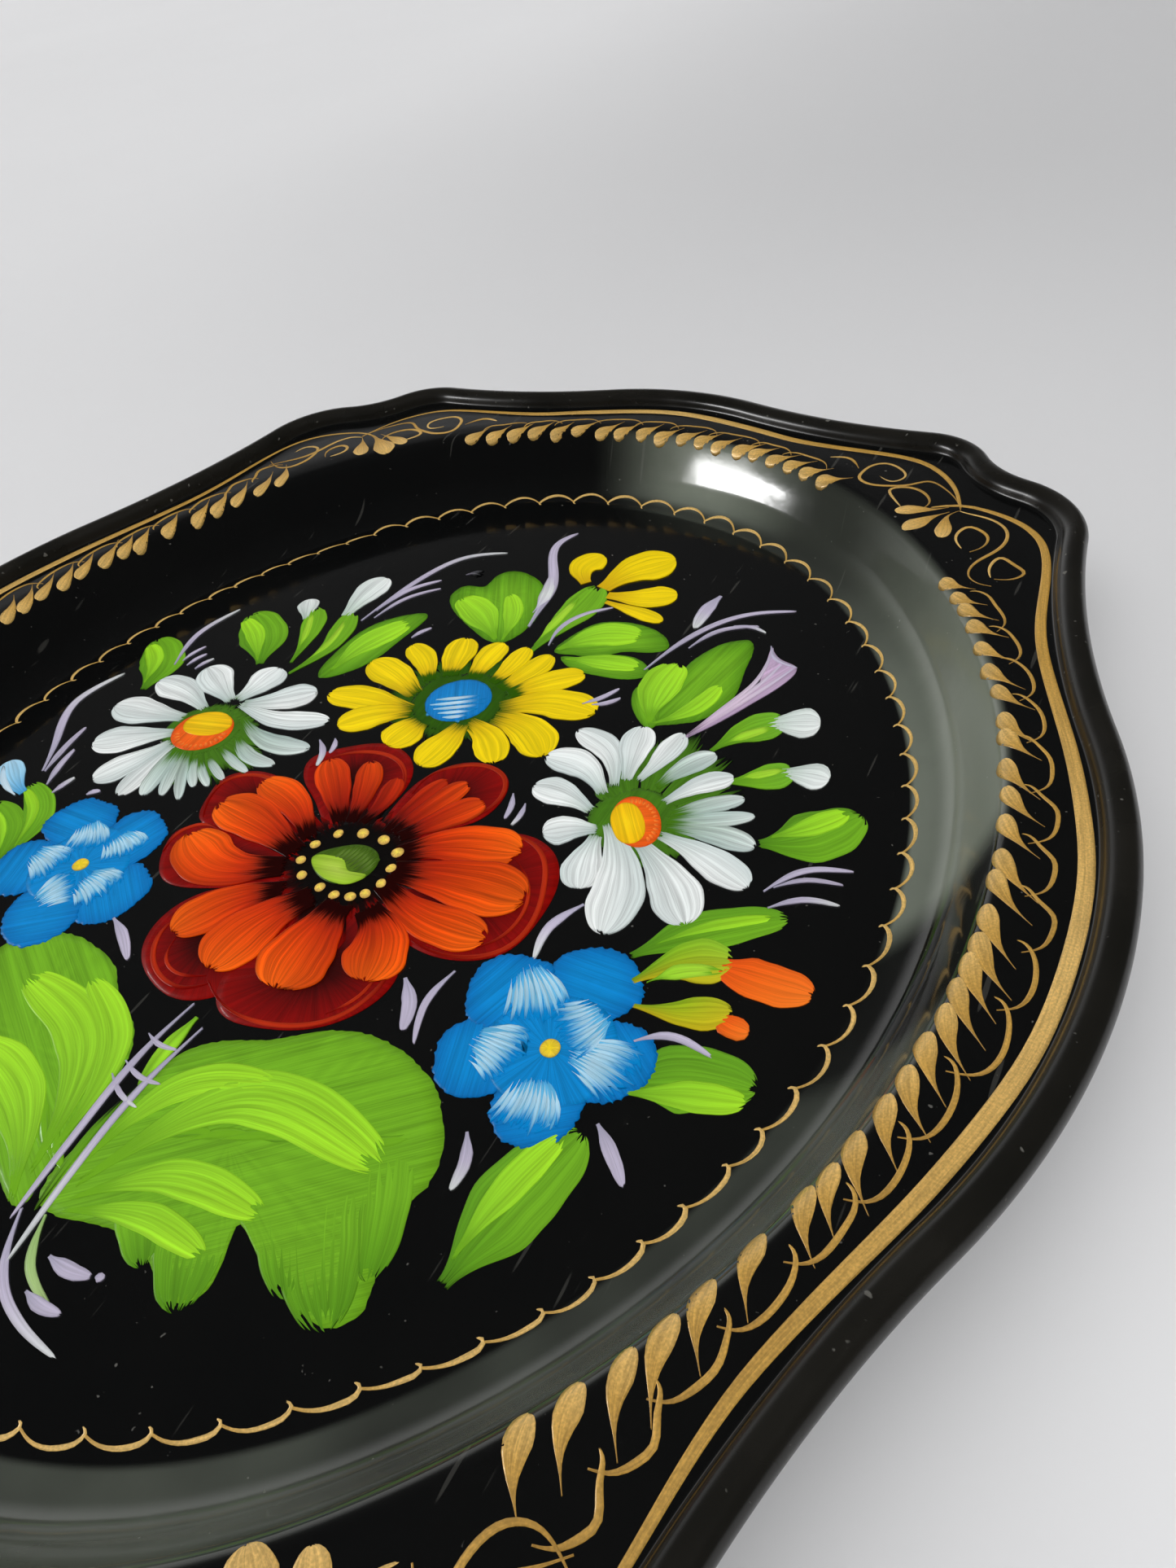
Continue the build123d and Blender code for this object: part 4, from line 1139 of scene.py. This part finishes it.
def small_leaves():
    """Leaves around the bouquet, the larger ones as outlines and the narrow ones as brush loads."""
    leaves = Film("small_leaf_strokes", "leaf_green", ["small_leaves"])
    outline = [
        (-4, 60.5), (-17, 64), (-27, 70.5), (-30, 76), (-28, 80), (-23, 81), (-22.5, 86), (-19, 90),
        (-13, 89.5), (-6, 85), (-2.5, 78), (-1, 68),
    ]
    leaf_body(leaves, outline, (-13, 75), 120)
    leaf_lights(leaves,
        [([(-6, 60.5), (-16, 69), (-26, 74.4)], 9.4), ([(-4.6, 61), (-8.6, 73), (-13.8, 79.6)], 5.4)])
    leaf_body(leaves, [(11, 61), (12, 69), (15.5, 75), (22, 77.5), (30, 77), (36, 73.5), (37.3, 71),
            (34, 68), (27, 66), (22, 62), (17, 61.5)], (23, 70), 25)
    leaf_lights(leaves, [([(11, 61.5), (17.6, 70), (28.8, 73.2)], 9.4)])
    leaf_body(leaves, [(13.5, 59.5), (17, 57), (26, 56), (34, 57.2), (37.3, 60), (35.5, 63), (31, 65),
            (26, 64.5), (20, 61.5)], (26, 60.5), 8)
    leaf_lights(leaves, [([(14.5, 59.2), (23, 61), (33.8, 62)], 5.8)])
    leaf_body(leaves, [(46, 44), (45, 58), (44.5, 66), (46.5, 72.5), (50, 77.5), (55, 79.5), (57, 76),
            (58, 69), (59.5, 60), (58.5, 54), (55, 48.5), (50, 45.5)], (51.5, 62), 80)
    leaf_body(leaves, [(46.6, 43), (41, 46), (37.5, 51), (37, 55.5), (39.5, 57.5), (44, 52), (47, 46.5)],
        (41.5, 50.5), 125, layer=1.8)
    leaf_lights(leaves,
        [([(45.5, 44), (42, 55), (42.2, 66)], 10.2), ([(46, 44.5), (51.8, 51), (55, 61.5)], 5)])
    for route, width, light in [
        ([(81.6, 19.2), (91, 25), (97.4, 33.4)], 13.4, ([(83, 21.5), (89.6, 27.2), (94.6, 33)], 5.4)),
        ([(71, -14.6), (80, -5), (93.8, 4)], 9, ([(74, -10.6), (82, -2.6), (91, 3)], 2.6)),
        ([(80.6, -38.9), (90, -33), (101.8, -30.3)], 12.4,
            ([(82.4, -39.4), (91.4, -36), (101.2, -33)], 5.6)),
        ([(73, -77.6), (76, -62), (80, -48.2)], 13.4, ([(72.2, -74), (74, -61), (77.4, -50)], 5.6)),
        ([(-62, 32.3), (-71, 44), (-80.8, 50.3)], 13.4, ([(-63.6, 33.2), (-73.4, 43), (-81, 47.4)], 5.4)),
        ([(-86, 13.3), (-90, 24), (-99.8, 31.9)], 12.6, ([(-88, 15.4), (-93, 24.4), (-100, 29)], 5)),
        ([(-70, -43.4), (-75, -30), (-85.4, -24.2)], 7.8,
            ([(-70.8, -41), (-76.8, -30.4), (-85, -26)], 2.8)),
        ([(-70.5, -46), (-78, -36), (-88.4, -32.3)], 7.4,
            ([(-71.6, -45.4), (-79.6, -37.4), (-88, -34)], 2.6)),
    ]:
        leaves.stroke(route, width, LEAF_TONES, (0.16, 0.46, 0.52, 0.08), (0.6, 1.2, 1.3), 2, 0.06,
            (0.03, 0.06), 0.14, edge=((84, 142, 34), 0.5))
        leaf_lights(leaves, [light], (0.3, 0.9, 1.2, 1.1))
    leaf_body(leaves,
        [(-42, 33), (-45, 45), (-43.5, 55), (-38, 62), (-31, 65.3), (-31, 54), (-32.5, 44), (-36.5, 37)],
        (-38, 50), 80)
    leaf_lights(leaves, [([(-41, 36), (-39.6, 48), (-33.2, 60.4)], 8.4)])
    leaves.finish()


def big_leaves():
    """The two large lobed leaves at the foot of the bouquet."""
    left = Film("big_leaf_left", "leaf_green", ["large_leaves"])
    outline = [
        (2, -98), (0, -85), (-2, -70), (-8, -63), (-15, -60), (-20, -56), (-28, -53.5), (-36, -53),
        (-43, -55.5), (-48, -60), (-49, -66), (-46, -73), (-50, -80), (-46, -87), (-38, -90), (-28, -91),
        (-18, -93), (-8, -95),
    ]
    leaf_body(left, outline, (-22, -75), 152, LEAF)
    leaf_lights(left, [
        ([(-1, -93), (-13, -71), (-36.5, -64.6)], 9.8), ([(-0.6, -90), (-7, -68.6), (-23.4, -59.6)], 6.4),
        ([(0, -97.6), (-15, -84), (-33.6, -79.6)], 10.4),
    ])
    for k in range(9):
        x = -44 + 4.6 * k
        left.stroke([(x + 14, -84 - 0.9 * k), (x + 6, -76 - 1.4 * k), (x, -72 - 1.2 * k)], 2, VEIN_TONES,
            SPEAR, (0.1, 0.5, 0.4, 0.1), 3, 0.05, (0.1, 0.3), ground=LEAF)
    left.finish()
    right = Film("big_leaf_right", "leaf_green")
    outline = [
        (5, -96), (4, -75), (6, -65), (10, -60.5), (20, -55.5), (28, -50), (36, -47.3), (45, -47.8),
        (54, -51.5), (60, -58), (62.5, -66), (60, -75), (64, -82), (64.5, -87), (62, -89.7), (54, -89),
        (45, -86.5), (38.5, -84), (40.5, -90), (40, -96), (37, -97.5), (30, -95), (22, -93.3), (14, -95),
    ]
    leaf_body(right, outline, (27, -74), 40, LEAF)
    for route, width in [
        ([(44, -66), (51, -78), (61.4, -90.2)], 15), ([(38, -72), (44, -80), (53, -89.2)], 9),
        ([(50, -60), (57, -70), (62.6, -82)], 9), ([(24, -76), (31, -86), (39, -98.2)], 13),
        ([(17, -84), (22, -89.5), (29, -95.6)], 8),
    ]:
        right.stroke(route, width, [LEAF, LEAF, LEAF_DARK], (0.5, 0.3, 0.66, 0.06), (0, 0.8, 1.15, 1), 2.2,
            0.04, (0.1, 0.12), 0.10, ground=LEAF)
    leaf_lights(right, [
        ([(6, -88), (12, -69), (26.6, -62.2)], 6.4), ([(8, -91), (24, -66.5), (53.6, -66.6)], 11),
        ([(9, -93), (22, -83), (40.6, -81.2)], 6.8), ([(9.4, -95), (24, -89.6), (36.6, -90)], 5.2),
    ])
    for k in range(7):
        right.stroke(
            [(14 + 5.4 * k, -80 + 2.6 * k), (20 + 5.2 * k, -75 + 2 * k), (26 + 4.8 * k, -73.4 + 2.2 * k)],
            2, VEIN_TONES, SPEAR, (0.1, 0.45, 0.35, 0.1), 3, 0.05, (0.1, 0.3), ground=LEAF)
    right.finish()


def fine_strokes():
    """Lilac tendrils and grasses, the striped trumpet flower and the green stems."""
    fine = Film("light_tendrils", "lilac_paint", ["light_strokes"])
    lines = [
        ([(40.4, 94.8), (39.4, 87), (40, 80)], 3.6),
        ([(35.6, 61.2), (41.6, 79), (49.8, 89), (61, 94)], 1.5),
        ([(42, 72.2), (46.2, 81), (54.8, 85.6)], 1.3), ([(48.6, 83.8), (53.4, 84.6), (57.2, 83.4)], 1),
        ([(87.2, 8.2), (92.2, 15.6), (100.8, 18.8)], 1.3), ([(88.5, 9.8), (93, 13.5), (100.2, 15)], 1),
        ([(89.4, 4.8), (94.4, 8.9), (101.2, 10.1)], 1.3),
        ([(79.8, -30.2), (83.9, -27.2), (93.2, -27.8)], 1.5),
        ([(81.5, -45.9), (85.8, -49.4), (90, -53.5)], 2.4),
        ([(-47.2, 57), (-43.3, 77.8), (-36, 92.2), (-25.2, 97.4)], 1.7),
        ([(-46, 62), (-42.5, 74), (-36.3, 80.2)], 1.4), ([(-44.4, 59.2), (-41, 70), (-34.2, 76.6)], 1.2),
        ([(-85.4, 24.2), (-89.4, 37.8), (-85.8, 50.8)], 1.6),
        ([(-84.5, 26.5), (-84.2, 30), (-82.7, 33.7)], 1.1),
        ([(-81.8, 25.3), (-81.4, 28.2), (-79.9, 31.2)], 1.1),
        ([(-78.4, 24.8), (-77.8, 27.6), (-76.3, 30.2)], 1.1),
        ([(-28.7, 54.8), (-27.8, 57.6), (-25.9, 60.2)], 1.2),
        ([(8.2, 62.8), (7.3, 69.3), (10.5, 77.5), (16.2, 82.2)], 1.4),
        ([(-86.2, -19.8), (-92.6, -10), (-100.4, 3), (-96.6, 17)], 2.2),
        ([(-85.5, -19.7), (-87.8, -12), (-88.9, -3.4)], 1.7),
        ([(-80.9, -22.9), (-83.4, -17), (-84.8, -10.7)], 1.7),
        ([(-77.1, -24.5), (-76.8, -21.4), (-75.9, -18.3)], 1.5),
        ([(-31.2, -46.6), (-26, -49), (-19.8, -53.4)], 2.3),
        ([(-68, -21.8), (-67.2, -20.4), (-65.6, -19.6)], 1.4),
        ([(-25.7, 13.5), (-22.2, 10.4), (-20.2, 5.7)], 1.6),
        ([(-22.3, 15.2), (-20.8, 13.2), (-20.2, 10.4)], 1.4),
        ([(28.2, 14.1), (29.8, 10.8), (30.5, 6.8)], 1.3), ([(32.3, 12.4), (33.1, 9.2), (32.8, 5.7)], 1.2),
        ([(35, -34.8), (39, -39), (41.5, -44.6)], 2.8),
        ([(42.9, -29.8), (41.8, -37.2), (44.9, -45.8)], 1.4),
        ([(57.4, -7.1), (54, -14.5), (55.1, -22)], 1.9), ([(27.6, 45.3), (30.8, 48.8), (33.3, 53.2)], 1.3),
        ([(29.9, 45.8), (32.8, 47.4), (35.2, 50.2)], 1.3), ([(62.9, -55.8), (65.4, -60), (66, -65.2)], 2.1),
        ([(-1, 68.2), (-2.3, 76), (-4.4, 86), (-12, 99.6), (-13.7, 106), (-11, 112.2)], 2.8),
        ([(0.8, -55.4), (-0.6, -67), (0.4, -83), (2.5, -99.8)], 1.5),
        ([(6.3, -58.8), (4.7, -73), (6, -92), (8, -104.8)], 1.5),
        ([(-2.6, -64), (1.2, -65), (5.4, -64.4)], 1), ([(-2.3, -70), (2.8, -71.4), (7.7, -70.9)], 1),
        ([(-2.6, -73), (2.2, -75.4), (7.1, -76.1)], 1), ([(13.8, -101), (18, -101.2), (22.8, -100.2)], 2.5),
        ([(14.8, -106.4), (18.8, -106.9), (22.8, -106.3)], 2.1),
        ([(2.8, -97.6), (10, -107), (19.8, -110.4), (27.4, -111)], 1.6),
        ([(23.4, -100), (24.2, -99.7), (24.8, -99.8)], 1.5), ([(60.2, 79), (62.6, 75), (69, 73)], 1.1),
    ]
    for k, (route, width) in enumerate(lines):
        fine.stroke(route, width, [(168, 164, 186), LILAC, STEM_WHITE if k % 3 == 0 else LILAC], LINER,
            (0.8, 1.1, 0.9), 8, 0.05, (0.01, 0.05), 0.06)
    fine.stroke([(-31.4, 84.4), (-28.5, 86), (-25.8, 85.6)], 3.4, [LILAC, (150, 160, 150)], COMMA,
        (0.5, 0.45, 0.2), 6, 0.03, (0.1, 0.4))
    fine.stroke([(-3.2, 74), (-4.2, 83), (-7.4, 90.6)], 3.6, [LILAC, STEM_WHITE, LILAC], SPEAR,
        (0.9, 1.1, 0.8), 8.6, 0.05, (0.02, 0.06))
    fine.finish()
    trumpet = Film("lilac_trumpet", "lilac_paint")
    pink = (206, 178, 206)
    trumpet.blob([(54.6, 42), (58.4, 51), (61.4, 60), (62.8, 69), (60.6, 78.6), (63.6, 75.2), (68.6, 73.2),
            (68.2, 67), (64.4, 58.6), (59.6, 49.4)], (63, 65), [pink, (190, 164, 196)], (0.9, 1.1), 6, 0.03,
        grain=66, streak=0.16)
    for route in (
        [(55.4, 43), (60.8, 55), (64.8, 64), (68.4, 73)],
        [(55, 43.4), (60.2, 56), (63.6, 66), (65.4, 74.2)], [(54.8, 43), (59.4, 56), (62, 66), (61, 78.4)],
    ):
        trumpet.stroke(route, 1.1, [pink, (226, 206, 226), LILAC], LINER, (0.5, 1, 0.8), 8, 0.04,
            (0.02, 0.06))
    trumpet.finish()
    green = Film("green_stem_strokes", "leaf_green")
    green.stroke([(3.6, -57.6), (3.2, -65), (4.2, -73)], 3.2, [LEAF, LIGHT, LEAF], LINER, (0.9, 1.1, 0.5),
        7, 0.06)
    green.stroke([(7.6, -96.6), (11.6, -103), (20.6, -106.4)], 1.6, [(150, 186, 110), (170, 196, 130)],
        LINER, (0.8, 1, 0.6), 7, 0.05)
    green.stroke([(3.8, -73), (3.2, -84), (5.2, -97)], 1.6, [LEAF_DARK, LEAF], LINER, (0.4, 0.8, 0.5), 5,
        0.04)
    green.finish()


# ---- the gold border -----------------------------------------------------------------------------
GOLD, GOLD_DEEP, GOLD_LIGHT = (203, 158, 72), (172, 129, 52), (232, 191, 112)
HALF_TURN = 2 * QUARTER


def on_border(points):
    """Plan points of (arc length, reach) pairs."""
    points = np.asarray(points, float)
    return oval(points[:, 0], points[:, 1])[0]


def gold_stroke(film, points, width, shape, cover, tones=(GOLD_DEEP, GOLD, GOLD_LIGHT), layer=0.5,
        ragged=(0, 0.02)):
    """Gold brush stroke through (arc length, reach) pairs of the border."""
    film.stroke(on_border(points), width, tones, shape, cover, layer, 0.05, ragged)


def jitter(size):
    """Random offset of up to size either way."""
    return (RANDOM.random() - 0.5) * 2 * size


def scallops():
    """Ring of small gold arcs round the well's floor."""
    ring = Film("gold_scallops", "gold_paint", ["scallop_ring"])
    # cusps by arc length over one half of the ring; the other half repeats them
    cusp_places = [
        -105, -96.3, -87.3, -78.3, -70, -61.5, -53.5, -44.4, -36.6, -27.6, -18.4, -9.4, -0.4, 9, 18, 27,
        36.2, 45.4, 54.8, 64, 73.4, 83, 93, 103, 113.5, 124, 134.6, 145, 155.4, 165.8, 176, 186.6, 197,
        207.4, 217.6, 228, 238, 248, 258,
    ]
    # the ring wanders across the floor's edge: arc length, and how far outwards
    shift_at = (0, 112, 130, 150, 170, 186, 205, 220, 235, 246, 448, 468, 484, 633, 649, 669)
    shift = (0, 0, 0.5, 1.7, 2.7, 3, 2.8, 2, 0.8, 0, 0, -1.5, -2.9, -2.9, -1.5, 0)
    for half in (0, HALF_TURN):
        cusps = np.array(cusp_places + [HALF_TURN + cusp_places[0]]) + half
        for k, (start, end) in enumerate(zip(cusps[:-1], cusps[1:])):
            peak = np.interp(cusp_places[k], (-100, -60, -20, 90, 130, 250),
                (0.8, 1.2, 1.9, 2.2, 2.9, 2.6)) + jitter(0.2)
            if half:                    # flatter arcs along the near side
                peak *= np.interp(cusp_places[k], (180, 225, 255), (1, 0.62, 0.50))
            span = end - start
            route = [
                (start - 0.2, -0.1), (start + 0.16 * span, 0.55 * peak), (start + 0.46 * span, peak),
                (start + 0.74 * span, 0.88 * peak), (end - 0.5, 0.3 * peak), (end - 0.1, -0.25),
                (end - 0.9, -1 + jitter(0.15)),
            ]
            route = np.array(route)
            route[:, 1] += np.interp(route[:, 0] % (2 * HALF_TURN), shift_at, shift)
            gold_stroke(ring, route, 0.85 + jitter(0.1), (0.45, 0.75, 0.40, 0), (0.8, 1.1, 1.2),
                (GOLD, GOLD_LIGHT, GOLD_LIGHT))
    ring.finish()


def drops():
    """Gold comma drops on the flange, heads towards the well and tails swept outwards."""
    film = Film("gold_comma_drops", "gold_paint", ["gold_drops"])
    side_heads = [
        -84.7, -78.5, -72, -66.2, -60.5, -52.6, -44.4, -40.3, -35, -28.6, -23.6, -17.8, -12.7, -8, -3.3,
        0.4, 5.8, 12.8, 17, 24.4, 30.6, 37.2, 44.5, 48.5, 56, 62.5, 69, 75.5, 81, 85, 90.5,
    ]
    far_heads = [
        139.5, 145, 150, 155.2, 160.4, 165, 171, 176, 181, 187, 192, 198, 203, 209.5, 215, 221, 226.5, 232,
        237.5,
    ]
    # along the border: where the heads lie, how far the tails run back and out, and their width
    places = (-90, -80, -70, -60, -40, 0, 40, 90, 130, 250)
    reach = (16.4, 16.2, 15.9, 15.2, 15.6, 16.3, 16, 15.8, 15.6, 15.6)
    back = (3.6, 6.6, 8, 8, 8, 9.4, 9, 7, 6.2, 6.2)
    out = (10.8, 10.8, 8.8, 8.2, 7.8, 7.8, 6.4, 5, 5.4, 5.4)
    widths = (3.6, 3.5, 3.4, 3.3, 3.2, 3.2, 3.1, 2.7, 3.1, 3.1)
    for half in (0, HALF_TURN):
        for s in side_heads + far_heads:
            head = np.array([s + half, np.interp(s, places, reach) + jitter(0.35)])
            tail = head + (-np.interp(s, places, back) * (1 + jitter(0.1)),
                np.interp(s, places, out) * (1 + jitter(0.08)))
            middle = (head + tail) / 2 + (-0.9, -0.9)
            gold_stroke(film, [tail, middle, head], np.interp(s, places, widths) * (1 + jitter(0.08)), DROP,
                (0.6, 1, 1.25, 1.3), ragged=(0.02, 0.02))
    film.finish()


def arc_chain():
    """Fine gold arcs that run over the drops on the flange."""
    film = Film("gold_arc_chain", "gold_paint")
    # each arc is (arc length, reach of its foot, reach of its peak)
    side = [
        (-87.2, 28.2, 30.2), (-80, 24.6, 27), (-72, 22, 24.4), (-62, 20.4, 23.3), (-52, 20, 22.9),
        (-42, 20, 23.6), (-31.8, 20.4, 24.2), (-20.8, 20.8, 26.3), (-9.6, 23, 26.5), (0.4, 23.2, 26.6),
        (10, 21.4, 25.1), (20, 20.4, 24.7), (30.5, 20, 23.8), (42, 19.8, 23.4), (52.5, 19.8, 23.2),
        (62.5, 19.8, 23), (72, 20, 22.8), (83.5, 20.2, 22.8),
    ]
    far = [
        (141.5, 19.4, 21.8), (152, 19.2, 21.6), (161, 19.2, 21.8), (173, 19.2, 22.2), (183.5, 19.4, 22.2),
        (193, 19.4, 22.2), (204, 19.2, 21.8), (214, 19.2, 21.6), (222, 19.2, 21.6), (232.5, 19.4, 21.6),
    ]
    for half in (0, HALF_TURN):
        for chain in (side, far):
            for (start, foot, peak), (end, end_foot, _) in zip(chain[:-1], chain[1:]):
                span = end - start
                route = [
                    (start - 1.7, foot + 0.1), (start, foot + 0.75 * (peak - foot)),
                    (start + 0.30 * span, peak), (start + 0.58 * span, peak - 0.35),
                    (end - 0.17 * span, end_foot + 1.9), (end, end_foot - 0.1), (end + 0.1, end_foot - 1.1),
                ]
                width = np.interp(start, (-90, -60, 0, 90), (1.05, 0.95, 0.8, 0.65))
                gold_stroke(film, np.array(route) + (half, 0), width, LINER, (0.6, 1.1, 1),
                    (GOLD_DEEP, GOLD, GOLD))
    film.finish()


def gold_line():
    """Gold line beside the rolled rim, in four strokes that taper in the corners."""
    film = Film("gold_rim_line", "gold_paint", ["rim_gold_line"])
    side = [
        (140, 0), (138.6, 18.7), (135.3, 31.9), (130.9, 45.1), (126.5, 56.1), (122.1, 67.1), (118.8, 77),
        (116.6, 88), (115, 99), (113.3, 106.7), (110, 114), (104, 119.5), (97, 122.5), (91, 123.5),
        (84, 121),
    ]
    far = [
        (0, 155.5), (20.9, 152.2), (30.8, 149.6), (39.6, 147.1), (48.4, 145.8), (58.3, 145), (68.2, 144.1),
        (75.9, 142), (82, 137.5), (87, 131), (91, 121.5),
    ]
    for points, fold, width in ((side, (1, -1), 2.7), (far, (-1, 1), 2.3)):
        points = np.array(points, float)
        whole = np.concatenate([points[:0:-1] * fold, points])
        for side_sign in (1, -1):
            film.stroke(whole * side_sign, width, [GOLD, GOLD, GOLD_LIGHT, GOLD, GOLD],
                (0.22, 0.42, 0.56, 0.1), (0.9, 1.2, 1.2, 1.2, 0.9), 0.6, 0.05, (0, 0.01), 0.06)
    film.finish()


def corner_scrolls():
    """Fans of drops and scrolled liner strokes in the four corners of the flange."""
    film = Film("gold_corner_scrolls", "gold_paint")
    fans = [
        ([(110, 31), (109.5, 28), (106.5, 25), (103, 22)], 3.8),
        ([(110.5, 29), (110.5, 24), (110, 19.4), (110, 16.6)], 4.4),
        ([(112, 30), (113, 26), (115, 22.5), (116.2, 18.8)], 4),
    ]
    far_part = [
        [(110, 31.5), (113, 33), (118, 34), (122, 33), (123, 29), (125, 25), (129, 21.5), (132, 22),
            (133.5, 25), (134, 28), (133, 31), (129, 32), (126, 30), (126, 27), (130, 26)],
        [(114, 23), (115, 27), (119, 29), (123, 27), (124, 24), (121, 22), (117, 21)],
        [(135, 25), (140, 27), (143, 24.5)],
    ]
    open_side = [
        [(86, 25.5), (85, 29), (86, 32), (89, 31.5), (92, 30), (90, 26.5), (86.5, 25)], [(84, 24),
            (85.5, 22), (88, 21), (92, 24), (94, 29), (96, 33), (100, 36), (105, 35), (108, 32.5),
            (110, 31)],
        [(96, 25), (96.5, 28), (99, 31), (102, 31), (104, 29.5), (103.5, 27), (101, 24.5), (97.5, 24)],
    ]
    looped_side = [
        [(86.7, 33.4), (86.9, 30.4), (87.8, 27.2), (90.4, 25.2), (93.8, 25.7), (97.2, 28.6), (98.6, 32.4),
            (96.2, 35.4), (93, 34.2)],
        [(85.8, 31.2), (89, 30.4), (93.4, 29.2), (98.6, 30.2), (104, 33), (108, 32.8), (110, 31)],
        [(99.5, 24.4), (100, 27), (102.4, 29.2), (105, 28.6), (105.6, 26), (103.4, 24), (100.6, 23.8)],
    ]
    near_fans = [
        ([(110, 31), (109.8, 27.4), (109, 23.4), (108.6, 18.8)], 4.8),
        ([(112, 31), (113.2, 27), (114.3, 21.5), (114.9, 16.4)], 6.6),
        ([(114.4, 30), (116.4, 26), (118.4, 22.5), (119.8, 19.2)], 4),
    ]
    for half in (0, HALF_TURN):
        for mirror in (False, True):
            scrolls = far_part + (looped_side if mirror else open_side)
            strokes = [(points, width, DROP) for points, width in (near_fans if mirror else fans)]
            strokes += [(points, 1 if mirror else 0.8, LINER) for points in scrolls]
            for points, width, shape in strokes:
                place = np.array(points, float)
                if mirror:
                    place[:, 0] = HALF_TURN - place[:, 0]
                place[:, 0] += half
                gold_stroke(film, place, width, shape, (0.7, 1.1, 1.2), layer=0.8)
    film.finish()


def steel_material():
    """Bright drawn wire with fine lengthwise scratches and faint tarnish."""
    steel = Nodes("rim_steel")
    place = steel.add("TexCoord", out=3)
    tarnish = steel.noise(place, 60, 4)
    scratch = steel.noise(place, 900, 2, 0.7)
    steel.set(steel.shader, Base_Color=steel.mix(tarnish, linear(150, 150, 148), linear(112, 108, 102)),
        Metallic=1, Roughness=steel.ramp(scratch, 0.3, 0.7, 0.25, 0.42),
        Normal=steel.add("Bump", Strength=0.3, Distance=0.00005, Height=scratch))
    return steel.owner


# ---- the whole scene -----------------------------------------------------------------------------
tray = tray_shell()
tray.data.materials.append(lacquer_material())
tray.data.materials.append(rim_lacquer_material())
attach(tray, "root")
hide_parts("tray_body")

PAINTS = {name: oil_paint("oil_" + name) for name in (
    "leaf_green", "yellow_paint", "blue_paint", "heart_yellow", "pod_green", "orange_paint", "lilac_paint",
)}
PAINTS["white_paint"] = oil_paint("oil_white_paint", 0.64)
PAINTS["poppy_red"] = oil_paint("oil_poppy_red", 0.62)
PAINTS["gold_paint"] = gold_paint()
for paint_motif in (
    big_leaves, small_leaves, buds, yellow_daisy, white_daisies, poppy, blue_flowers, fine_strokes, scallops,
    drops, arc_chain, gold_line, corner_scrolls,
):
    paint_motif()

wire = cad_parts["rim_wire"]
wire.data.materials.clear()
wire.data.materials.append(steel_material())
add_camera()
add_studio()
